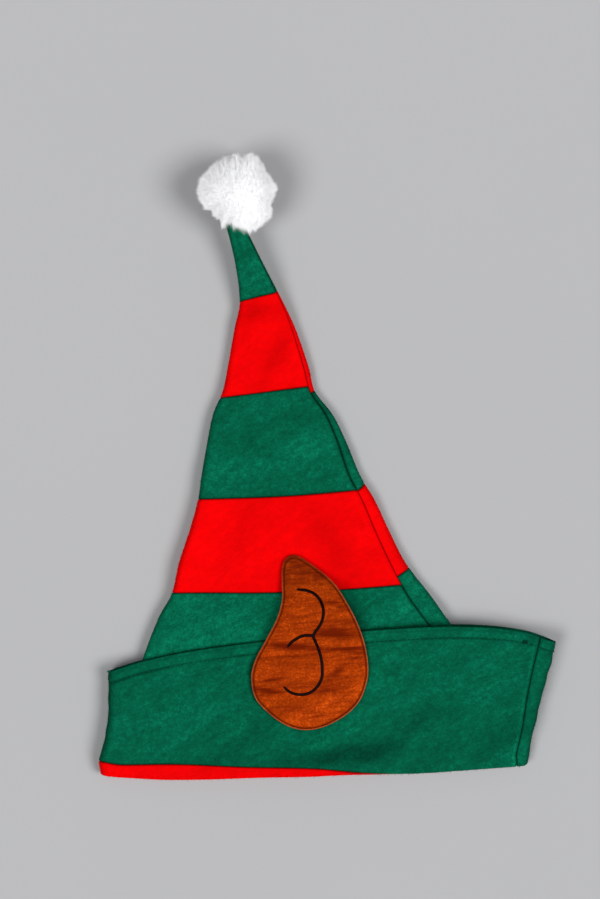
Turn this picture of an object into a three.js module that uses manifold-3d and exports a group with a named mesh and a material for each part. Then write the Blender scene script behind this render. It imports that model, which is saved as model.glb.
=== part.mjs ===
// An elf hat of craft felt, lying flat on its side: a tall cone of red and green stripes with a
// turned-up cuff, a padded ear on each side and a pompom on the tip.
// Millimetres. X runs across the mouth, Y from the mouth to the tip, Z up from the surface.

import * as THREE from 'three';
import { mergeVertices } from 'three/addons/utils/BufferGeometryUtils.js';
import Module from 'manifold-3d';

// Driving dimensions
const MOUTH_WIDTH = 294; // flat width of the cone at the mouth, between its two side folds
const CONE_LENGTH = 392; // from the mouth to the cut tip, which ends inside the pompom
const FELT = 1.6; // thickness of every felt wall
const SIDE_FOLD_RADIUS = 3.8; // outside radius of the cone's side folds
const MOUTH_LOFT = 9; // how far the cone's upper wall domes above its side folds
const SEAM_GAP = 0.35; // clearance between two stripes that are sewn edge to edge
const SIDE_SEAM_GAP = 0.6; // clearance between the front and back panels along the side seams
const SEAM_OFFSET = 15; // how far the side seams lie from the side folds, near the mouth
const CUFF_HEIGHT = 100; // from the mouth to the cuff's top edge, at its middle
const CUFF_GAP = 1; // clearance between the cone and the cuff turned up over it
const TURN_SEAM_GAP = 0.8; // clearance of the seam that rolls round the mouth's turn
const CUFF_EXTRA_LOFT = 2.5; // how much more than the mouth the cuff's top edge domes
const CUFF_FLARE = 19; // how much wider the cuff's right end is at its top edge
const HEM_WIDTH = 8.5; // folded hem along the cuff's top edge
const HEM_THICKNESS = 1; // what the folded hem adds to the felt
const DRAPE = 32; // length over which the cone settles past the cuff's edge beneath it
const EAR_DRAPE = 60; // length over which felt settles round the lower ear
const EAR_LENGTH = 121;
const EAR_WIDTH = 80;
const EAR_EDGE = 1.6; // thickness of an ear at its sewn edge
const EAR_PADDING = 4.6; // thickness of the upper ear at its middle
const UNDER_EAR_THICKNESS = 3; // the ear that the hat lies on is pressed flat
const EAR_GAP = 0.8; // clearance between an ear and the felt it is sewn to
const EAR_CENTRE_ACROSS = -3; // from the middle of the mouth
const EAR_CENTRE_ALONG = 96.5; // from the mouth
const POMPOM_DIAMETER = 57;
const POMPOM_SINK = 15.5; // how far the cone's tip reaches into the pompom
const POMPOM_SHIFT = 4.3; // how far the pompom's middle lies to the right of the cone's tip
const POMPOM_CORE_SHARE = 0.84; // the packed core's diameter, of the whole pompom's
const POMPOM_TUFTS = 52;
const TUFT_FOOT_SHARE = 0.7; // a tuft's radius at its foot, of the tufts' spacing
const TUFT_TOP_SHARE = 0.42; // and at its blunt top
const TUFT_LEAN = 0.14; // radians that each tuft leans off its radius
const SOCKET_CLEARANCE = 0.5; // between the cone's tip and the pompom sewn over it

const GREEN = 0x05603f;
const RED = 0xe3060b;
const BROWN = 0xa33a06;
const WHITE = 0xf4f4f6;

// The cone's sections, from the mouth to the tip. along is a share of the cone's length. left and
// right are the side folds, as shares of the mouth's width from its middle. seam is a share of
// SEAM_OFFSET, loft of MOUTH_LOFT, fold of SIDE_FOLD_RADIUS, and lift of the pompom's diameter.
const CONE_SECTIONS = [
  { along: 0.0, left: -0.5, right: 0.5, seam: 0.75, loft: 1.0, fold: 1.0, lift: 0.0 },
  { along: 0.214, left: -0.404, right: 0.381, seam: 1.0, loft: 1.1, fold: 1.0, lift: 0.0 },
  { along: 0.286, left: -0.367, right: 0.314, seam: 1.0, loft: 1.15, fold: 1.0, lift: 0.0 },
  { along: 0.327, left: -0.337, right: 0.275, seam: 0.95, loft: 1.15, fold: 1.0, lift: 0.0 },
  { along: 0.383, left: -0.319, right: 0.218, seam: 0.7, loft: 1.1, fold: 1.0, lift: 0.0 },
  { along: 0.439, left: -0.2945, right: 0.18, seam: 0.66, loft: 1.05, fold: 1.0, lift: 0.0 },
  { along: 0.495, left: -0.274, right: 0.145, seam: 0.63, loft: 1.0, fold: 1.0, lift: 0.0 },
  { along: 0.536, left: -0.266, right: 0.112, seam: 0.64, loft: 0.9, fold: 1.0, lift: 0.0 },
  { along: 0.602, left: -0.251, right: 0.075, seam: 0.49, loft: 0.8, fold: 1.0, lift: 0.0 },
  { along: 0.648, left: -0.238, right: 0.044, seam: 0.4, loft: 0.75, fold: 1.0, lift: 0.0 },
  { along: 0.687, left: -0.216, right: 0.004, seam: 0.36, loft: 0.7, fold: 1.0, lift: 0.0 },
  { along: 0.73, left: -0.204, right: -0.011, seam: 0.3, loft: 0.6, fold: 1.0, lift: 0.01 },
  { along: 0.801, left: -0.187, right: -0.044, seam: 0.25, loft: 0.5, fold: 1.05, lift: 0.03 },
  { along: 0.844, left: -0.175, right: -0.071, seam: 0.22, loft: 0.4, fold: 1.1, lift: 0.08 },
  { along: 0.913, left: -0.185, right: -0.119, seam: 0.2, loft: 0.2, fold: 1.25, lift: 0.2 },
  { along: 1.0, left: -0.213, right: -0.177, seam: 0.2, loft: 0.05, fold: 1.35, lift: 0.36 },
];

// The seams between stripes, from the mouth up, as shares of the cone's length. A stripe's seam
// runs from under (the left side seam, beneath) round the left fold, across the front to front
// (the right side seam), and starts again there on the back panel at back, rising to fold on the
// right fold. bow bends the stretch across the front.
const STRIPE_SEAMS = [
  { under: 0.151, left: 0.161, front: 0.173, back: 0.186, fold: 0.209, bow: -0.004 },
  { under: 0.318, left: 0.328, front: 0.34, back: 0.356, fold: 0.375, bow: -0.004 },
  { under: 0.487, left: 0.496, front: 0.512, back: 0.51, fold: 0.525, bow: -0.003 },
  { under: 0.668, left: 0.675, front: 0.696, back: 0.684, fold: 0.69, bow: 0.0 },
  { under: 0.84, left: 0.845, front: 0.862, back: 0.862, fold: 0.866, bow: 0.0 },
];
const STRIPE_COLOURS = [RED, GREEN, RED, GREEN, RED, GREEN];
const STRIPE_NAMES = ['red_mouth', 'green_low', 'red_low', 'green_high', 'red_high', 'green_tip'];

// The mouth's fold line, as shares of the cone's length. across is a share of the mouth's width.
// wrap is how far up the outside of the cuff its seam with the red stripe has rolled.
const MOUTH_LINE = [
  { across: -0.5, along: 0.006, wrap: 0.0226 },
  { across: -0.33, along: -0.0025, wrap: 0.026 },
  { across: -0.15, along: 0.002, wrap: 0.0147 },
  { across: 0.0, along: 0.0057, wrap: 0.01 },
  { across: 0.1, along: 0.0085, wrap: 0.0045 },
  { across: 0.2, along: 0.011, wrap: 0.0 },
  { across: 0.3, along: 0.0135, wrap: -0.003 },
  { across: 0.5, along: 0.023, wrap: -0.005 },
];

// The cuff's top edge, as shares of the cuff's height at shares of its own width.
const CUFF_TOP = [
  { across: 0.0, along: 0.75 },
  { across: 0.08, along: 0.825 },
  { across: 0.32, along: 0.946 },
  { across: 0.63, along: 1.049 },
  { across: 0.81, along: 1.066 },
  { across: 0.93, along: 1.028 },
  { across: 1.0, along: 0.956 },
];

// How far the cuff's two ends move outwards between the mouth and its top edge, as shares of
// CUFF_FLARE.
const CUFF_ENDS = [
  { along: 0.0, left: 0.0, right: 0.0 },
  { along: 0.15, left: -0.04, right: 0.08 },
  { along: 0.35, left: -0.2, right: 0.16 },
  { along: 0.6, left: -0.3, right: 0.47 },
  { along: 0.8, left: -0.27, right: 0.79 },
  { along: 1.0, left: -0.29, right: 1.0 },
];

// Soft dents and folds in the upper felt. across and along are shares of the mouth's width and
// the cone's length, turn is in degrees from X, reach and breadth are half sizes as shares of the
// mouth's width, and depth is a share of the felt, down where negative.
const SOFT_FOLDS = [
  { across: -0.33, along: 0.1, turn: 25, reach: 0.2, breadth: 0.035, depth: 0.7 },
  { across: -0.2, along: 0.05, turn: 20, reach: 0.16, breadth: 0.035, depth: -0.6 },
  { across: 0.33, along: 0.12, turn: 35, reach: 0.18, breadth: 0.04, depth: 0.9 },
  { across: 0.42, along: 0.07, turn: 40, reach: 0.12, breadth: 0.035, depth: -0.7 },
  { across: 0.22, along: 0.03, turn: 12, reach: 0.14, breadth: 0.035, depth: -0.5 },
  { across: -0.12, along: 0.43, turn: -55, reach: 0.2, breadth: 0.045, depth: 0.8 },
  { across: 0.05, along: 0.41, turn: -62, reach: 0.16, breadth: 0.04, depth: -0.7 },
  { across: -0.14, along: 0.6, turn: 15, reach: 0.14, breadth: 0.035, depth: -0.6 },
  { across: -0.03, along: 0.56, turn: -50, reach: 0.12, breadth: 0.035, depth: 0.6 },
  { across: -0.14, along: 0.83, turn: 4, reach: 0.08, breadth: 0.022, depth: -1.0 },
  { across: -0.09, along: 0.75, turn: 60, reach: 0.1, breadth: 0.025, depth: -0.8 },
];

// An ear's outline from lobe to tip: left and right are shares of its width, from its middle.
const EAR_OUTLINE = [
  { along: 0.0, left: -0.03, right: -0.03 },
  { along: 0.045, left: -0.247, right: 0.208 },
  { along: 0.1, left: -0.355, right: 0.338 },
  { along: 0.18, left: -0.462, right: 0.441 },
  { along: 0.3, left: -0.5, right: 0.5 },
  { along: 0.4, left: -0.466, right: 0.5 },
  { along: 0.52, left: -0.372, right: 0.464 },
  { along: 0.64, left: -0.28, right: 0.395 },
  { along: 0.74, left: -0.238, right: 0.314 },
  { along: 0.84, left: -0.236, right: 0.213 },
  { along: 0.92, left: -0.237, right: 0.075 },
  { along: 0.97, left: -0.214, right: -0.032 },
  { along: 1.0, left: -0.14, right: -0.14 },
];

// Mesh densities
const FOLD_STEPS = 6; // columns round a side fold
const WALL_STEPS = [13, 11, 9, 7, 5, 3]; // columns across each stripe's wall, from the mouth up
const STRIPE_ROWS = [5, 6, 5, 9, 5, 5]; // rows along each stripe
const MOUTH_ROWS = 5; // rows of each piece round the mouth's turn
const CUFF_ROWS = 4; // rows of the cuff between the turn and the hem
const EAR_COLUMNS = 20;
const EAR_ROWS = 16;
const TUFT_SIDES = 5;

const wasm = await Module();
wasm.setup();

const { lerp, smoothstep } = THREE.MathUtils;

// A table's column at any place between its rows, on a smooth curve through them.
function tableValue(rows, column, at, place = (row) => row.along) {
  const last = rows.length - 1;
  let i = rows.findIndex((row) => place(row) > at) - 1;
  if (i === -2) i = last - 1;
  i = Math.max(0, Math.min(last - 1, i));
  const slope = (k) => {
    const [a, b] = [rows[Math.max(0, k - 1)], rows[Math.min(last, k + 1)]];
    return (b[column] - a[column]) / (place(b) - place(a));
  };
  const [low, high] = [rows[i], rows[i + 1]];
  const span = place(high) - place(low);
  const t = Math.max(0, Math.min(1, (at - place(low)) / span));
  const [t2, t3] = [t * t, t * t * t];
  return (2 * t3 - 3 * t2 + 1) * low[column] + (t3 - 2 * t2 + t) * span * slope(i)
    + (3 * t2 - 2 * t3) * high[column] + (t3 - t2) * span * slope(i + 1);
}
const acrossPlace = (row) => row.across;

// The soft folds' height at a place on the upper felt.
function softFolds(x, y) {
  return SOFT_FOLDS.reduce((height, fold) => {
    const dx = x - fold.across * MOUTH_WIDTH;
    const dy = y - fold.along * CONE_LENGTH;
    const turn = THREE.MathUtils.degToRad(fold.turn);
    const lengthways = (dx * Math.cos(turn) + dy * Math.sin(turn)) / (fold.reach * MOUTH_WIDTH);
    const sideways = (dy * Math.cos(turn) - dx * Math.sin(turn)) / (fold.breadth * MOUTH_WIDTH);
    return height + fold.depth * FELT * Math.exp(-(lengthways ** 2) - sideways ** 2);
  }, 0);
}

// How far the lower ear lifts the felt that lies on it.
function underEarLift(x, y) {
  const reach = EAR_LENGTH / 2 + SEAM_GAP;
  const dx = x - EAR_CENTRE_ACROSS;
  const dy = y - EAR_CENTRE_ALONG;
  const outside = Math.hypot((dx * EAR_LENGTH) / EAR_WIDTH, dy) - reach;
  return (UNDER_EAR_THICKNESS + EAR_GAP) * (1 - smoothstep(outside, 0, EAR_DRAPE));
}

const mouthLine = (x) => CONE_LENGTH * tableValue(MOUTH_LINE, 'along', x / MOUTH_WIDTH, acrossPlace);
const cuffLine = (x) => mouthLine(x) + FELT + CUFF_GAP / 2; // where the cuff starts to turn up
const cuffReach = FELT + CUFF_GAP; // from the cone's outside to the cuff's, at the mouth

// The cuff's two ends, left and right, at a share of its height.
function cuffEnds(share) {
  const flare = (column) => CUFF_FLARE * tableValue(CUFF_ENDS, column, share);
  return {
    left: -MOUTH_WIDTH / 2 - cuffReach - flare('left'),
    right: MOUTH_WIDTH / 2 + cuffReach + flare('right'),
  };
}
const topEnds = cuffEnds(1);
function cuffTop(x) {
  const share = (x - topEnds.left) / (topEnds.right - topEnds.left);
  return CUFF_HEIGHT * tableValue(CUFF_TOP, 'along', share, acrossPlace);
}

// How far the felt beneath the cone lifts it: the cuff, its hem and the lower ear, and the pompom.
function coneLift(x, y) {
  const edge = cuffTop(x);
  const hem = HEM_THICKNESS * smoothstep(y, edge - HEM_WIDTH - DRAPE, edge - HEM_WIDTH);
  const stack = (cuffReach + hem) * (1 - smoothstep(y, edge + DRAPE / 4, edge + DRAPE));
  const tip = POMPOM_DIAMETER * Math.max(0, tableValue(CONE_SECTIONS, 'lift', y / CONE_LENGTH));
  return stack + tip + underEarLift(x, y);
}

// A flattened tube's section. Its stations run from 0 to 1 round the left fold, from beneath to
// above, to 2 across the upper wall, to 3 round the right fold and to 4 back across beneath.
function sectionPoint({ left, right, fold, loft }, station, offset) {
  const wall = right - left - 2 * fold;
  const radius = fold + offset;
  const s = ((station % 4) + 4) % 4;
  if (s < 1) {
    const angle = Math.PI * (s - 0.5);
    return { x: left + fold - radius * Math.cos(angle), z: fold + radius * Math.sin(angle) };
  }
  if (s < 2) {
    const middle = 2 * (s - 1) - 1;
    const dome = loft * (1 - middle * middle) ** 1.5;
    return { x: left + fold + (s - 1) * wall, z: 2 * fold + dome + offset };
  }
  if (s < 3) {
    const angle = Math.PI * (2.5 - s);
    return { x: right - fold + radius * Math.cos(angle), z: fold + radius * Math.sin(angle) };
  }
  return { x: right - fold - (s - 3) * wall, z: -offset };
}

function coneSection(y) {
  const value = (column) => tableValue(CONE_SECTIONS, column, y / CONE_LENGTH);
  return {
    left: MOUTH_WIDTH * value('left'),
    right: MOUTH_WIDTH * value('right'),
    fold: SIDE_FOLD_RADIUS * value('fold'),
    loft: MOUTH_LOFT * value('loft'),
    seam: SEAM_OFFSET * value('seam'),
  };
}

// The length round a section to a station, and back: even stretches are folds, odd ones walls.
function girthTo({ left, right, fold }, station) {
  const whole = Math.floor(station);
  const turn = Math.PI * fold;
  const wall = right - left - 2 * fold;
  const rest = (station - whole) * (whole % 2 ? wall : turn);
  return Math.ceil(whole / 2) * turn + Math.floor(whole / 2) * wall + rest;
}
function stationAt(section, girth) {
  let whole = -1;
  while (girthTo(section, whole + 1) <= girth) whole += 1;
  const from = girthTo(section, whole);
  return whole + (girth - from) / (girthTo(section, whole + 1) - from);
}

// The girths of the two side seams: the right one is on top, the left one beneath.
function seamGirths(section) {
  const { fold, seam } = section;
  const past = seam >= fold ? seam - fold : fold * (Math.acos(1 - seam / fold) - Math.PI / 2);
  return { underLeft: -past, frontRight: girthTo(section, 2) - past };
}

// A point of the cone's wall, depth beneath its outside.
function conePoint(station, y, depth) {
  const section = coneSection(y);
  const { x, z } = sectionPoint(section, station, -depth);
  const above = THREE.MathUtils.clamp(z / (2 * section.fold), 0, 1);
  return new THREE.Vector3(x, y, z + coneLift(x, y) + above * softFolds(x, y));
}

// The hem's thickness at a share of the cuff's height.
const hemStart = 1 - HEM_WIDTH / CUFF_HEIGHT;
const hemStep = 0.02; // share of the cuff's height over which the hem's edge rises
const hemRoundFrom = 0.985; // where the hem's top edge starts to round over
const hemRoundTo = 0.65; // share of its thickness that the hem keeps at the very edge
const hemAt = (share) => HEM_THICKNESS * smoothstep(share, hemStart - hemStep, hemStart);

function cuffSection(share) {
  const mouth = coneSection(0);
  const fold = mouth.fold + cuffReach;
  return { ...cuffEnds(share), fold, loft: mouth.loft + share * CUFF_EXTRA_LOFT };
}

// A point of the cuff, height above the felt that faces the cone.
function cuffPoint(station, share, height) {
  const section = cuffSection(share);
  const above = THREE.MathUtils.clamp(sectionPoint(section, station, 0).z / (2 * section.fold), 0, 1);
  const rounded = lerp(1, hemRoundTo, smoothstep(share, hemRoundFrom, 1));
  const raised = height / FELT;
  const hem = hemAt(share) * (above * raised - (1 - above) * (1 - raised));
  const offset = (height - FELT / 2 + hem) * rounded - FELT / 2;
  const { x, z } = sectionPoint(section, station, offset);
  const start = cuffLine(sectionPoint(coneSection(0), station, 0).x);
  const y = lerp(start, cuffTop(x), share);
  return new THREE.Vector3(x, y, z + underEarLift(x, y) + above * softFolds(x, y));
}

// A point of the felt that comes down the cone, turns up at the mouth and becomes the cuff. travel
// is measured along it from where the turn starts, and depth from the cone's outside.
const turnLength = Math.PI * (CUFF_GAP + FELT) / 2;
function mouthPoint(station, travel, depth) {
  const section = coneSection(0);
  const start = cuffLine(sectionPoint(section, station, 0).x);
  if (travel <= 0) return conePoint(station, start - travel, depth);
  if (travel >= turnLength) {
    const { x } = sectionPoint(section, station, 0);
    return cuffPoint(station, (travel - turnLength) / (cuffTop(x) - start), depth);
  }
  const angle = Math.PI * travel / turnLength;
  const radius = CUFF_GAP / 2 + depth;
  const offset = CUFF_GAP / 2 - radius * Math.cos(angle);
  const { x, z } = sectionPoint(section, station, offset);
  const y = start - radius * Math.sin(angle);
  const above = THREE.MathUtils.clamp(sectionPoint(section, station, 0).z / (2 * section.fold), 0, 1);
  return new THREE.Vector3(x, y, z + cuffReach + underEarLift(x, y) + above * softFolds(x, y));
}

// Rows are spent on the turn, a row for each quarter of it, more than on the flat felt beside it.
const turnRow = turnLength / 4;
const flatRow = CUFF_HEIGHT / 16;
function rowsTo(travel) {
  const turned = THREE.MathUtils.clamp(travel, 0, turnLength);
  return turned / turnRow + (travel - turned) / flatRow;
}
function travelAt(rows) {
  const turned = THREE.MathUtils.clamp(rows, 0, turnLength / turnRow);
  return turned * turnRow + (rows - turned) * flatRow;
}
const mouthTravel = (from, to, share) => travelAt(lerp(rowsTo(from), rowsTo(to), share));

// Where the red stripe's seam with the cuff lies, as travel along the felt.
function cuffSeamTravel(station) {
  const { x } = sectionPoint(coneSection(0), station, 0);
  return turnLength / 2 + CONE_LENGTH * tableValue(MOUTH_LINE, 'wrap', x / MOUTH_WIDTH, acrossPlace);
}

// A stripe seam's place along the cone, at a station on the front or the back panel.
function stripeSeam(row, station, panel) {
  const section = coneSection(CONE_LENGTH * row.left);
  const sides = seamGirths(section);
  const girth = girthTo(section, station);
  const shareOf = (from, to) => THREE.MathUtils.clamp((girth - from) / (to - from), 0, 1);
  const [leftFold, rightFold] = [girthTo(section, 0.5), girthTo(section, 2.5)];
  let along;
  if (panel === 'back') {
    along = girth < rightFold
      ? lerp(row.back, row.fold, shareOf(sides.frontRight, rightFold))
      : lerp(row.fold, row.under, shareOf(rightFold, girthTo(section, 4) + sides.underLeft));
  } else if (girth < leftFold) {
    along = lerp(row.under, row.left, shareOf(sides.underLeft, leftFold));
  } else {
    const share = shareOf(leftFold, sides.frontRight);
    along = lerp(row.left, row.front, share) + row.bow * Math.sin(Math.PI * share);
  }
  return CONE_LENGTH * along;
}

// A panel's station at a share of its columns: first round its fold, then across its wall.
function panelStation(panel, section, wallSteps, share) {
  const turned = FOLD_STEPS / (FOLD_STEPS + wallSteps);
  const sides = seamGirths(section);
  const clear = SIDE_SEAM_GAP / 2;
  const underLeft = sides.underLeft + (panel === 'front' ? clear : girthTo(section, 4) - clear);
  const frontRight = sides.frontRight + (panel === 'front' ? -clear : clear);
  const [first, folded, last] = panel === 'front' ? [underLeft, 1, frontRight] : [frontRight, 3, underLeft];
  return share < turned
    ? lerp(stationAt(section, first), folded, share / turned)
    : lerp(folded, stationAt(section, last), (share - turned) / (1 - turned));
}

// A closed patch of felt: a box whose grid is carried to its place by a function of its shares
// along, across and through.
function feltPatch(name, colour, columns, rows, place) {
  const box = new THREE.BoxGeometry(1, 1, 1, columns, rows, 1);
  box.deleteAttribute('normal');
  box.deleteAttribute('uv');
  const geometry = mergeVertices(box);
  const position = geometry.getAttribute('position');
  for (let i = 0; i < position.count; i++) {
    const point = place(position.getX(i) + 0.5, position.getY(i) + 0.5, position.getZ(i) + 0.5);
    position.setXYZ(i, point.x, point.y, point.z);
  }
  return namedMesh(name, geometry, colour, 0.95);
}

function namedMesh(name, geometry, colour, roughness) {
  geometry.computeVertexNormals();
  const material = new THREE.MeshStandardMaterial({ color: colour, roughness, metalness: 0 });
  const mesh = new THREE.Mesh(geometry, material);
  mesh.name = name;
  return mesh;
}

// One stripe of one panel of the cone, above the mouth.
function stripe(panel, index) {
  const [low, high] = [STRIPE_SEAMS[index - 1], STRIPE_SEAMS[index]];
  const wallSteps = WALL_STEPS[index];
  const name = `${panel}_stripe_${STRIPE_NAMES[index]}`;
  return feltPatch(
    name, STRIPE_COLOURS[index], FOLD_STEPS + wallSteps, STRIPE_ROWS[index],
    (across, along, through) => {
      // A seam's place depends on its station and the station on the section there.
      let y = CONE_LENGTH * lerp(low.left, high ? high.left : 1, along);
      let station;
      for (let pass = 0; pass < 4; pass++) {
        station = panelStation(panel, coneSection(y), wallSteps, across);
        const top = high ? stripeSeam(high, station, panel) - SEAM_GAP / 2 : CONE_LENGTH;
        y = lerp(stripeSeam(low, station, panel) + SEAM_GAP / 2, top, along);
      }
      return conePoint(station, y, FELT * (1 - through));
    },
  );
}

// The mouth's red stripe of one panel, down the cone and round the turn to its seam with the cuff.
function mouthStripe(panel) {
  const wallSteps = WALL_STEPS[0];
  const rows = STRIPE_ROWS[0] + MOUTH_ROWS;
  return feltPatch(
    `${panel}_stripe_${STRIPE_NAMES[0]}`, STRIPE_COLOURS[0], FOLD_STEPS + wallSteps, rows,
    (across, along, through) => {
      const row = along * rows;
      const depth = FELT * (1 - through);
      const mouth = coneSection(0);
      let station = panelStation(panel, mouth, wallSteps, across);
      const end = cuffSeamTravel(station) - TURN_SEAM_GAP / 2;
      const straightFrom = Math.min(end, 0) - FELT;
      if (row <= MOUTH_ROWS) {
        return mouthPoint(station, mouthTravel(end, straightFrom, row / MOUTH_ROWS), depth);
      }
      const foot = cuffLine(sectionPoint(mouth, station, 0).x) - straightFrom;
      let y = foot;
      for (let pass = 0; pass < 4; pass++) {
        station = panelStation(panel, coneSection(y), wallSteps, across);
        const top = stripeSeam(STRIPE_SEAMS[0], station, panel) - SEAM_GAP / 2;
        y = lerp(foot, top, (row - MOUTH_ROWS) / STRIPE_ROWS[0]);
      }
      return conePoint(station, y, depth);
    },
  );
}

// One half of the cuff, from its seam with the red stripe to its hemmed top edge.
function cuffHalf(panel) {
  const wallSteps = WALL_STEPS[0];
  const hemShares = [hemStart, hemRoundFrom, 1];
  const rows = MOUTH_ROWS + CUFF_ROWS + hemShares.length;
  return feltPatch(
    `cuff_${panel}`, GREEN, FOLD_STEPS + wallSteps, rows,
    (across, along, through) => {
      const mouth = coneSection(0);
      const station = panelStation(panel, mouth, wallSteps, across);
      const depth = FELT * through;
      const row = Math.round(along * rows);
      const { x } = sectionPoint(mouth, station, 0);
      const first = cuffSeamTravel(station) + TURN_SEAM_GAP / 2;
      const last = Math.max(first, turnLength) + FELT;
      if (row <= MOUTH_ROWS) {
        return mouthPoint(station, mouthTravel(first, last, row / MOUTH_ROWS), depth);
      }
      const cuffRow = row - MOUTH_ROWS;
      const foot = (last - turnLength) / (cuffTop(x) - cuffLine(x));
      const share = cuffRow > CUFF_ROWS
        ? hemShares[cuffRow - CUFF_ROWS - 1]
        : lerp(foot, hemStart - hemStep, cuffRow / CUFF_ROWS);
      return cuffPoint(station, share, depth);
    },
  );
}

// The height of the felt that the upper ear lies on.
function feltTop(x, y) {
  const cone = conePoint(1 + wallShare(coneSection(y), x), y, 0).z;
  const edge = cuffTop(x);
  const share = THREE.MathUtils.clamp((y - cuffLine(x)) / (edge - cuffLine(x)), 0, hemRoundFrom);
  const section = cuffSection(share);
  const cuff = cuffPoint(1 + wallShare(section, x), share, FELT).z;
  return lerp(Math.max(cuff, cone), cone, smoothstep(y, edge + DRAPE / 4, edge + DRAPE));
}
function wallShare({ left, right, fold }, x) {
  return THREE.MathUtils.clamp((x - left - fold) / (right - left - 2 * fold), 0.001, 0.999);
}

// A padded ear: a sphere's grid, spread to the ear's outline, on a surface given by base. Its
// outline is read by the sphere's own angle from the tip, which keeps both of its ends round.
function ear(name, thickness, base) {
  const fromTip = (row) => -Math.acos(2 * row.along - 1);
  const sphere = new THREE.SphereGeometry(1, EAR_COLUMNS, EAR_ROWS);
  sphere.deleteAttribute('normal');
  sphere.deleteAttribute('uv');
  const geometry = mergeVertices(sphere);
  const position = geometry.getAttribute('position');
  for (let i = 0; i < position.count; i++) {
    const pole = THREE.MathUtils.clamp(position.getY(i), -1, 1);
    const girth = Math.sqrt(1 - pole * pole);
    const sideways = girth > 1e-4 ? position.getX(i) / girth : 0;
    const upwards = girth > 1e-4 ? position.getZ(i) / girth : 0;
    const left = tableValue(EAR_OUTLINE, 'left', -Math.acos(pole), fromTip);
    const right = tableValue(EAR_OUTLINE, 'right', -Math.acos(pole), fromTip);
    const x = EAR_CENTRE_ACROSS + EAR_WIDTH * lerp(left, right, (1 + sideways) / 2);
    const y = EAR_CENTRE_ALONG + (EAR_LENGTH * pole) / 2;
    const padding = (thickness - EAR_EDGE / 2) * Math.max(0, upwards) ** 0.8 * girth ** 0.7;
    const flat = (EAR_EDGE / 2) * Math.min(1, 3 * Math.max(0, -upwards)) * Math.min(1, 2 * girth);
    position.setXYZ(i, x, y, base(x, y) + EAR_EDGE / 2 + padding - flat);
  }
  return namedMesh(name, geometry, BROWN, 0.8);
}

// A closed three.js geometry as a solid, to join or cut.
function solidFrom(geometry) {
  const bare = geometry.clone();
  bare.deleteAttribute('normal');
  bare.deleteAttribute('uv');
  const merged = mergeVertices(bare);
  return new wasm.Manifold(new wasm.Mesh({
    numProp: 3,
    vertProperties: new Float32Array(merged.getAttribute('position').array),
    triVerts: new Uint32Array(merged.index.array),
  }));
}
function geometryFrom(solid) {
  const { vertProperties, triVerts } = solid.getMesh();
  const geometry = new THREE.BufferGeometry();
  geometry.setAttribute('position', new THREE.BufferAttribute(vertProperties, 3));
  return geometry.setIndex(new THREE.BufferAttribute(triVerts, 1));
}

// The pompom: a packed core with blunt tufts all over it, and a socket for the cone's tip.
function pompom() {
  const radius = POMPOM_DIAMETER / 2;
  const core = radius * POMPOM_CORE_SHARE;
  const spacing = core * Math.sqrt((4 * Math.PI) / POMPOM_TUFTS);
  const goldenTurn = Math.PI * (3 - Math.sqrt(5));
  let ball = solidFrom(new THREE.IcosahedronGeometry(core, 3));
  for (let i = 0; i < POMPOM_TUFTS; i++) {
    const height = 1 - (2 * i + 1) / POMPOM_TUFTS;
    const ring = Math.sqrt(1 - height * height);
    const turn = goldenTurn * i;
    const out = new THREE.Vector3(ring * Math.cos(turn), ring * Math.sin(turn), height);
    const reach = radius * (0.97 + 0.03 * Math.sin(2.4 * i) - 0.02 * Math.cos(5.3 * i));
    const root = core - (radius - core);
    const [foot, top] = [spacing * TUFT_FOOT_SHARE, spacing * TUFT_TOP_SHARE];
    const tuft = new THREE.CylinderGeometry(top, foot, reach - root, TUFT_SIDES);
    tuft.rotateX(Math.PI / 2).rotateZ(i).translate(0, 0, (reach + root) / 2);
    const leanAxis = new THREE.Vector3(Math.cos(3 * i), Math.sin(3 * i), 0);
    const lean = new THREE.Quaternion().setFromAxisAngle(leanAxis, TUFT_LEAN);
    const aim = new THREE.Quaternion().setFromUnitVectors(new THREE.Vector3(0, 0, 1), out);
    tuft.applyQuaternion(aim.multiply(lean));
    ball = ball.add(solidFrom(tuft));
  }
  const lowest = ball.boundingBox().min[2];
  const tip = coneSection(CONE_LENGTH);
  ball = ball.translate([
    (tip.left + tip.right) / 2 + POMPOM_SHIFT,
    CONE_LENGTH + radius - POMPOM_SINK,
    -lowest,
  ]);
  return namedMesh('pompom', geometryFrom(ball.subtract(coneTip(SOCKET_CLEARANCE))), WHITE, 1);
}

// The cone's tip as a solid plug, grown by a clearance all round.
function coneTip(clearance) {
  const plug = new THREE.CylinderGeometry(1, 1, 1, 4 * FOLD_STEPS, FOLD_STEPS);
  plug.deleteAttribute('normal');
  plug.deleteAttribute('uv');
  const geometry = mergeVertices(plug);
  const position = geometry.getAttribute('position');
  for (let i = 0; i < position.count; i++) {
    const y = CONE_LENGTH + clearance - POMPOM_DIAMETER * (0.5 - position.getY(i));
    const around = Math.atan2(position.getZ(i), -position.getX(i)) / (Math.PI / 2);
    const onRim = Math.hypot(position.getX(i), position.getZ(i)) > 0.5;
    const axis = conePoint(1.5, y, 0).lerp(conePoint(3.5, y, 0), 0.5);
    const point = onRim ? conePoint(around, y, -clearance) : axis;
    position.setXYZ(i, point.x, point.y, point.z);
  }
  return solidFrom(geometry);
}

const hat = new THREE.Group();
for (const panel of ['front', 'back']) {
  hat.add(mouthStripe(panel));
  for (let index = 1; index < STRIPE_NAMES.length; index++) hat.add(stripe(panel, index));
  hat.add(cuffHalf(panel));
}
hat.add(ear('ear_upper', EAR_PADDING, (x, y) => feltTop(x, y) + EAR_GAP));
hat.add(ear('ear_lower', UNDER_EAR_THICKNESS, () => 0));
hat.add(pompom());

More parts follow.
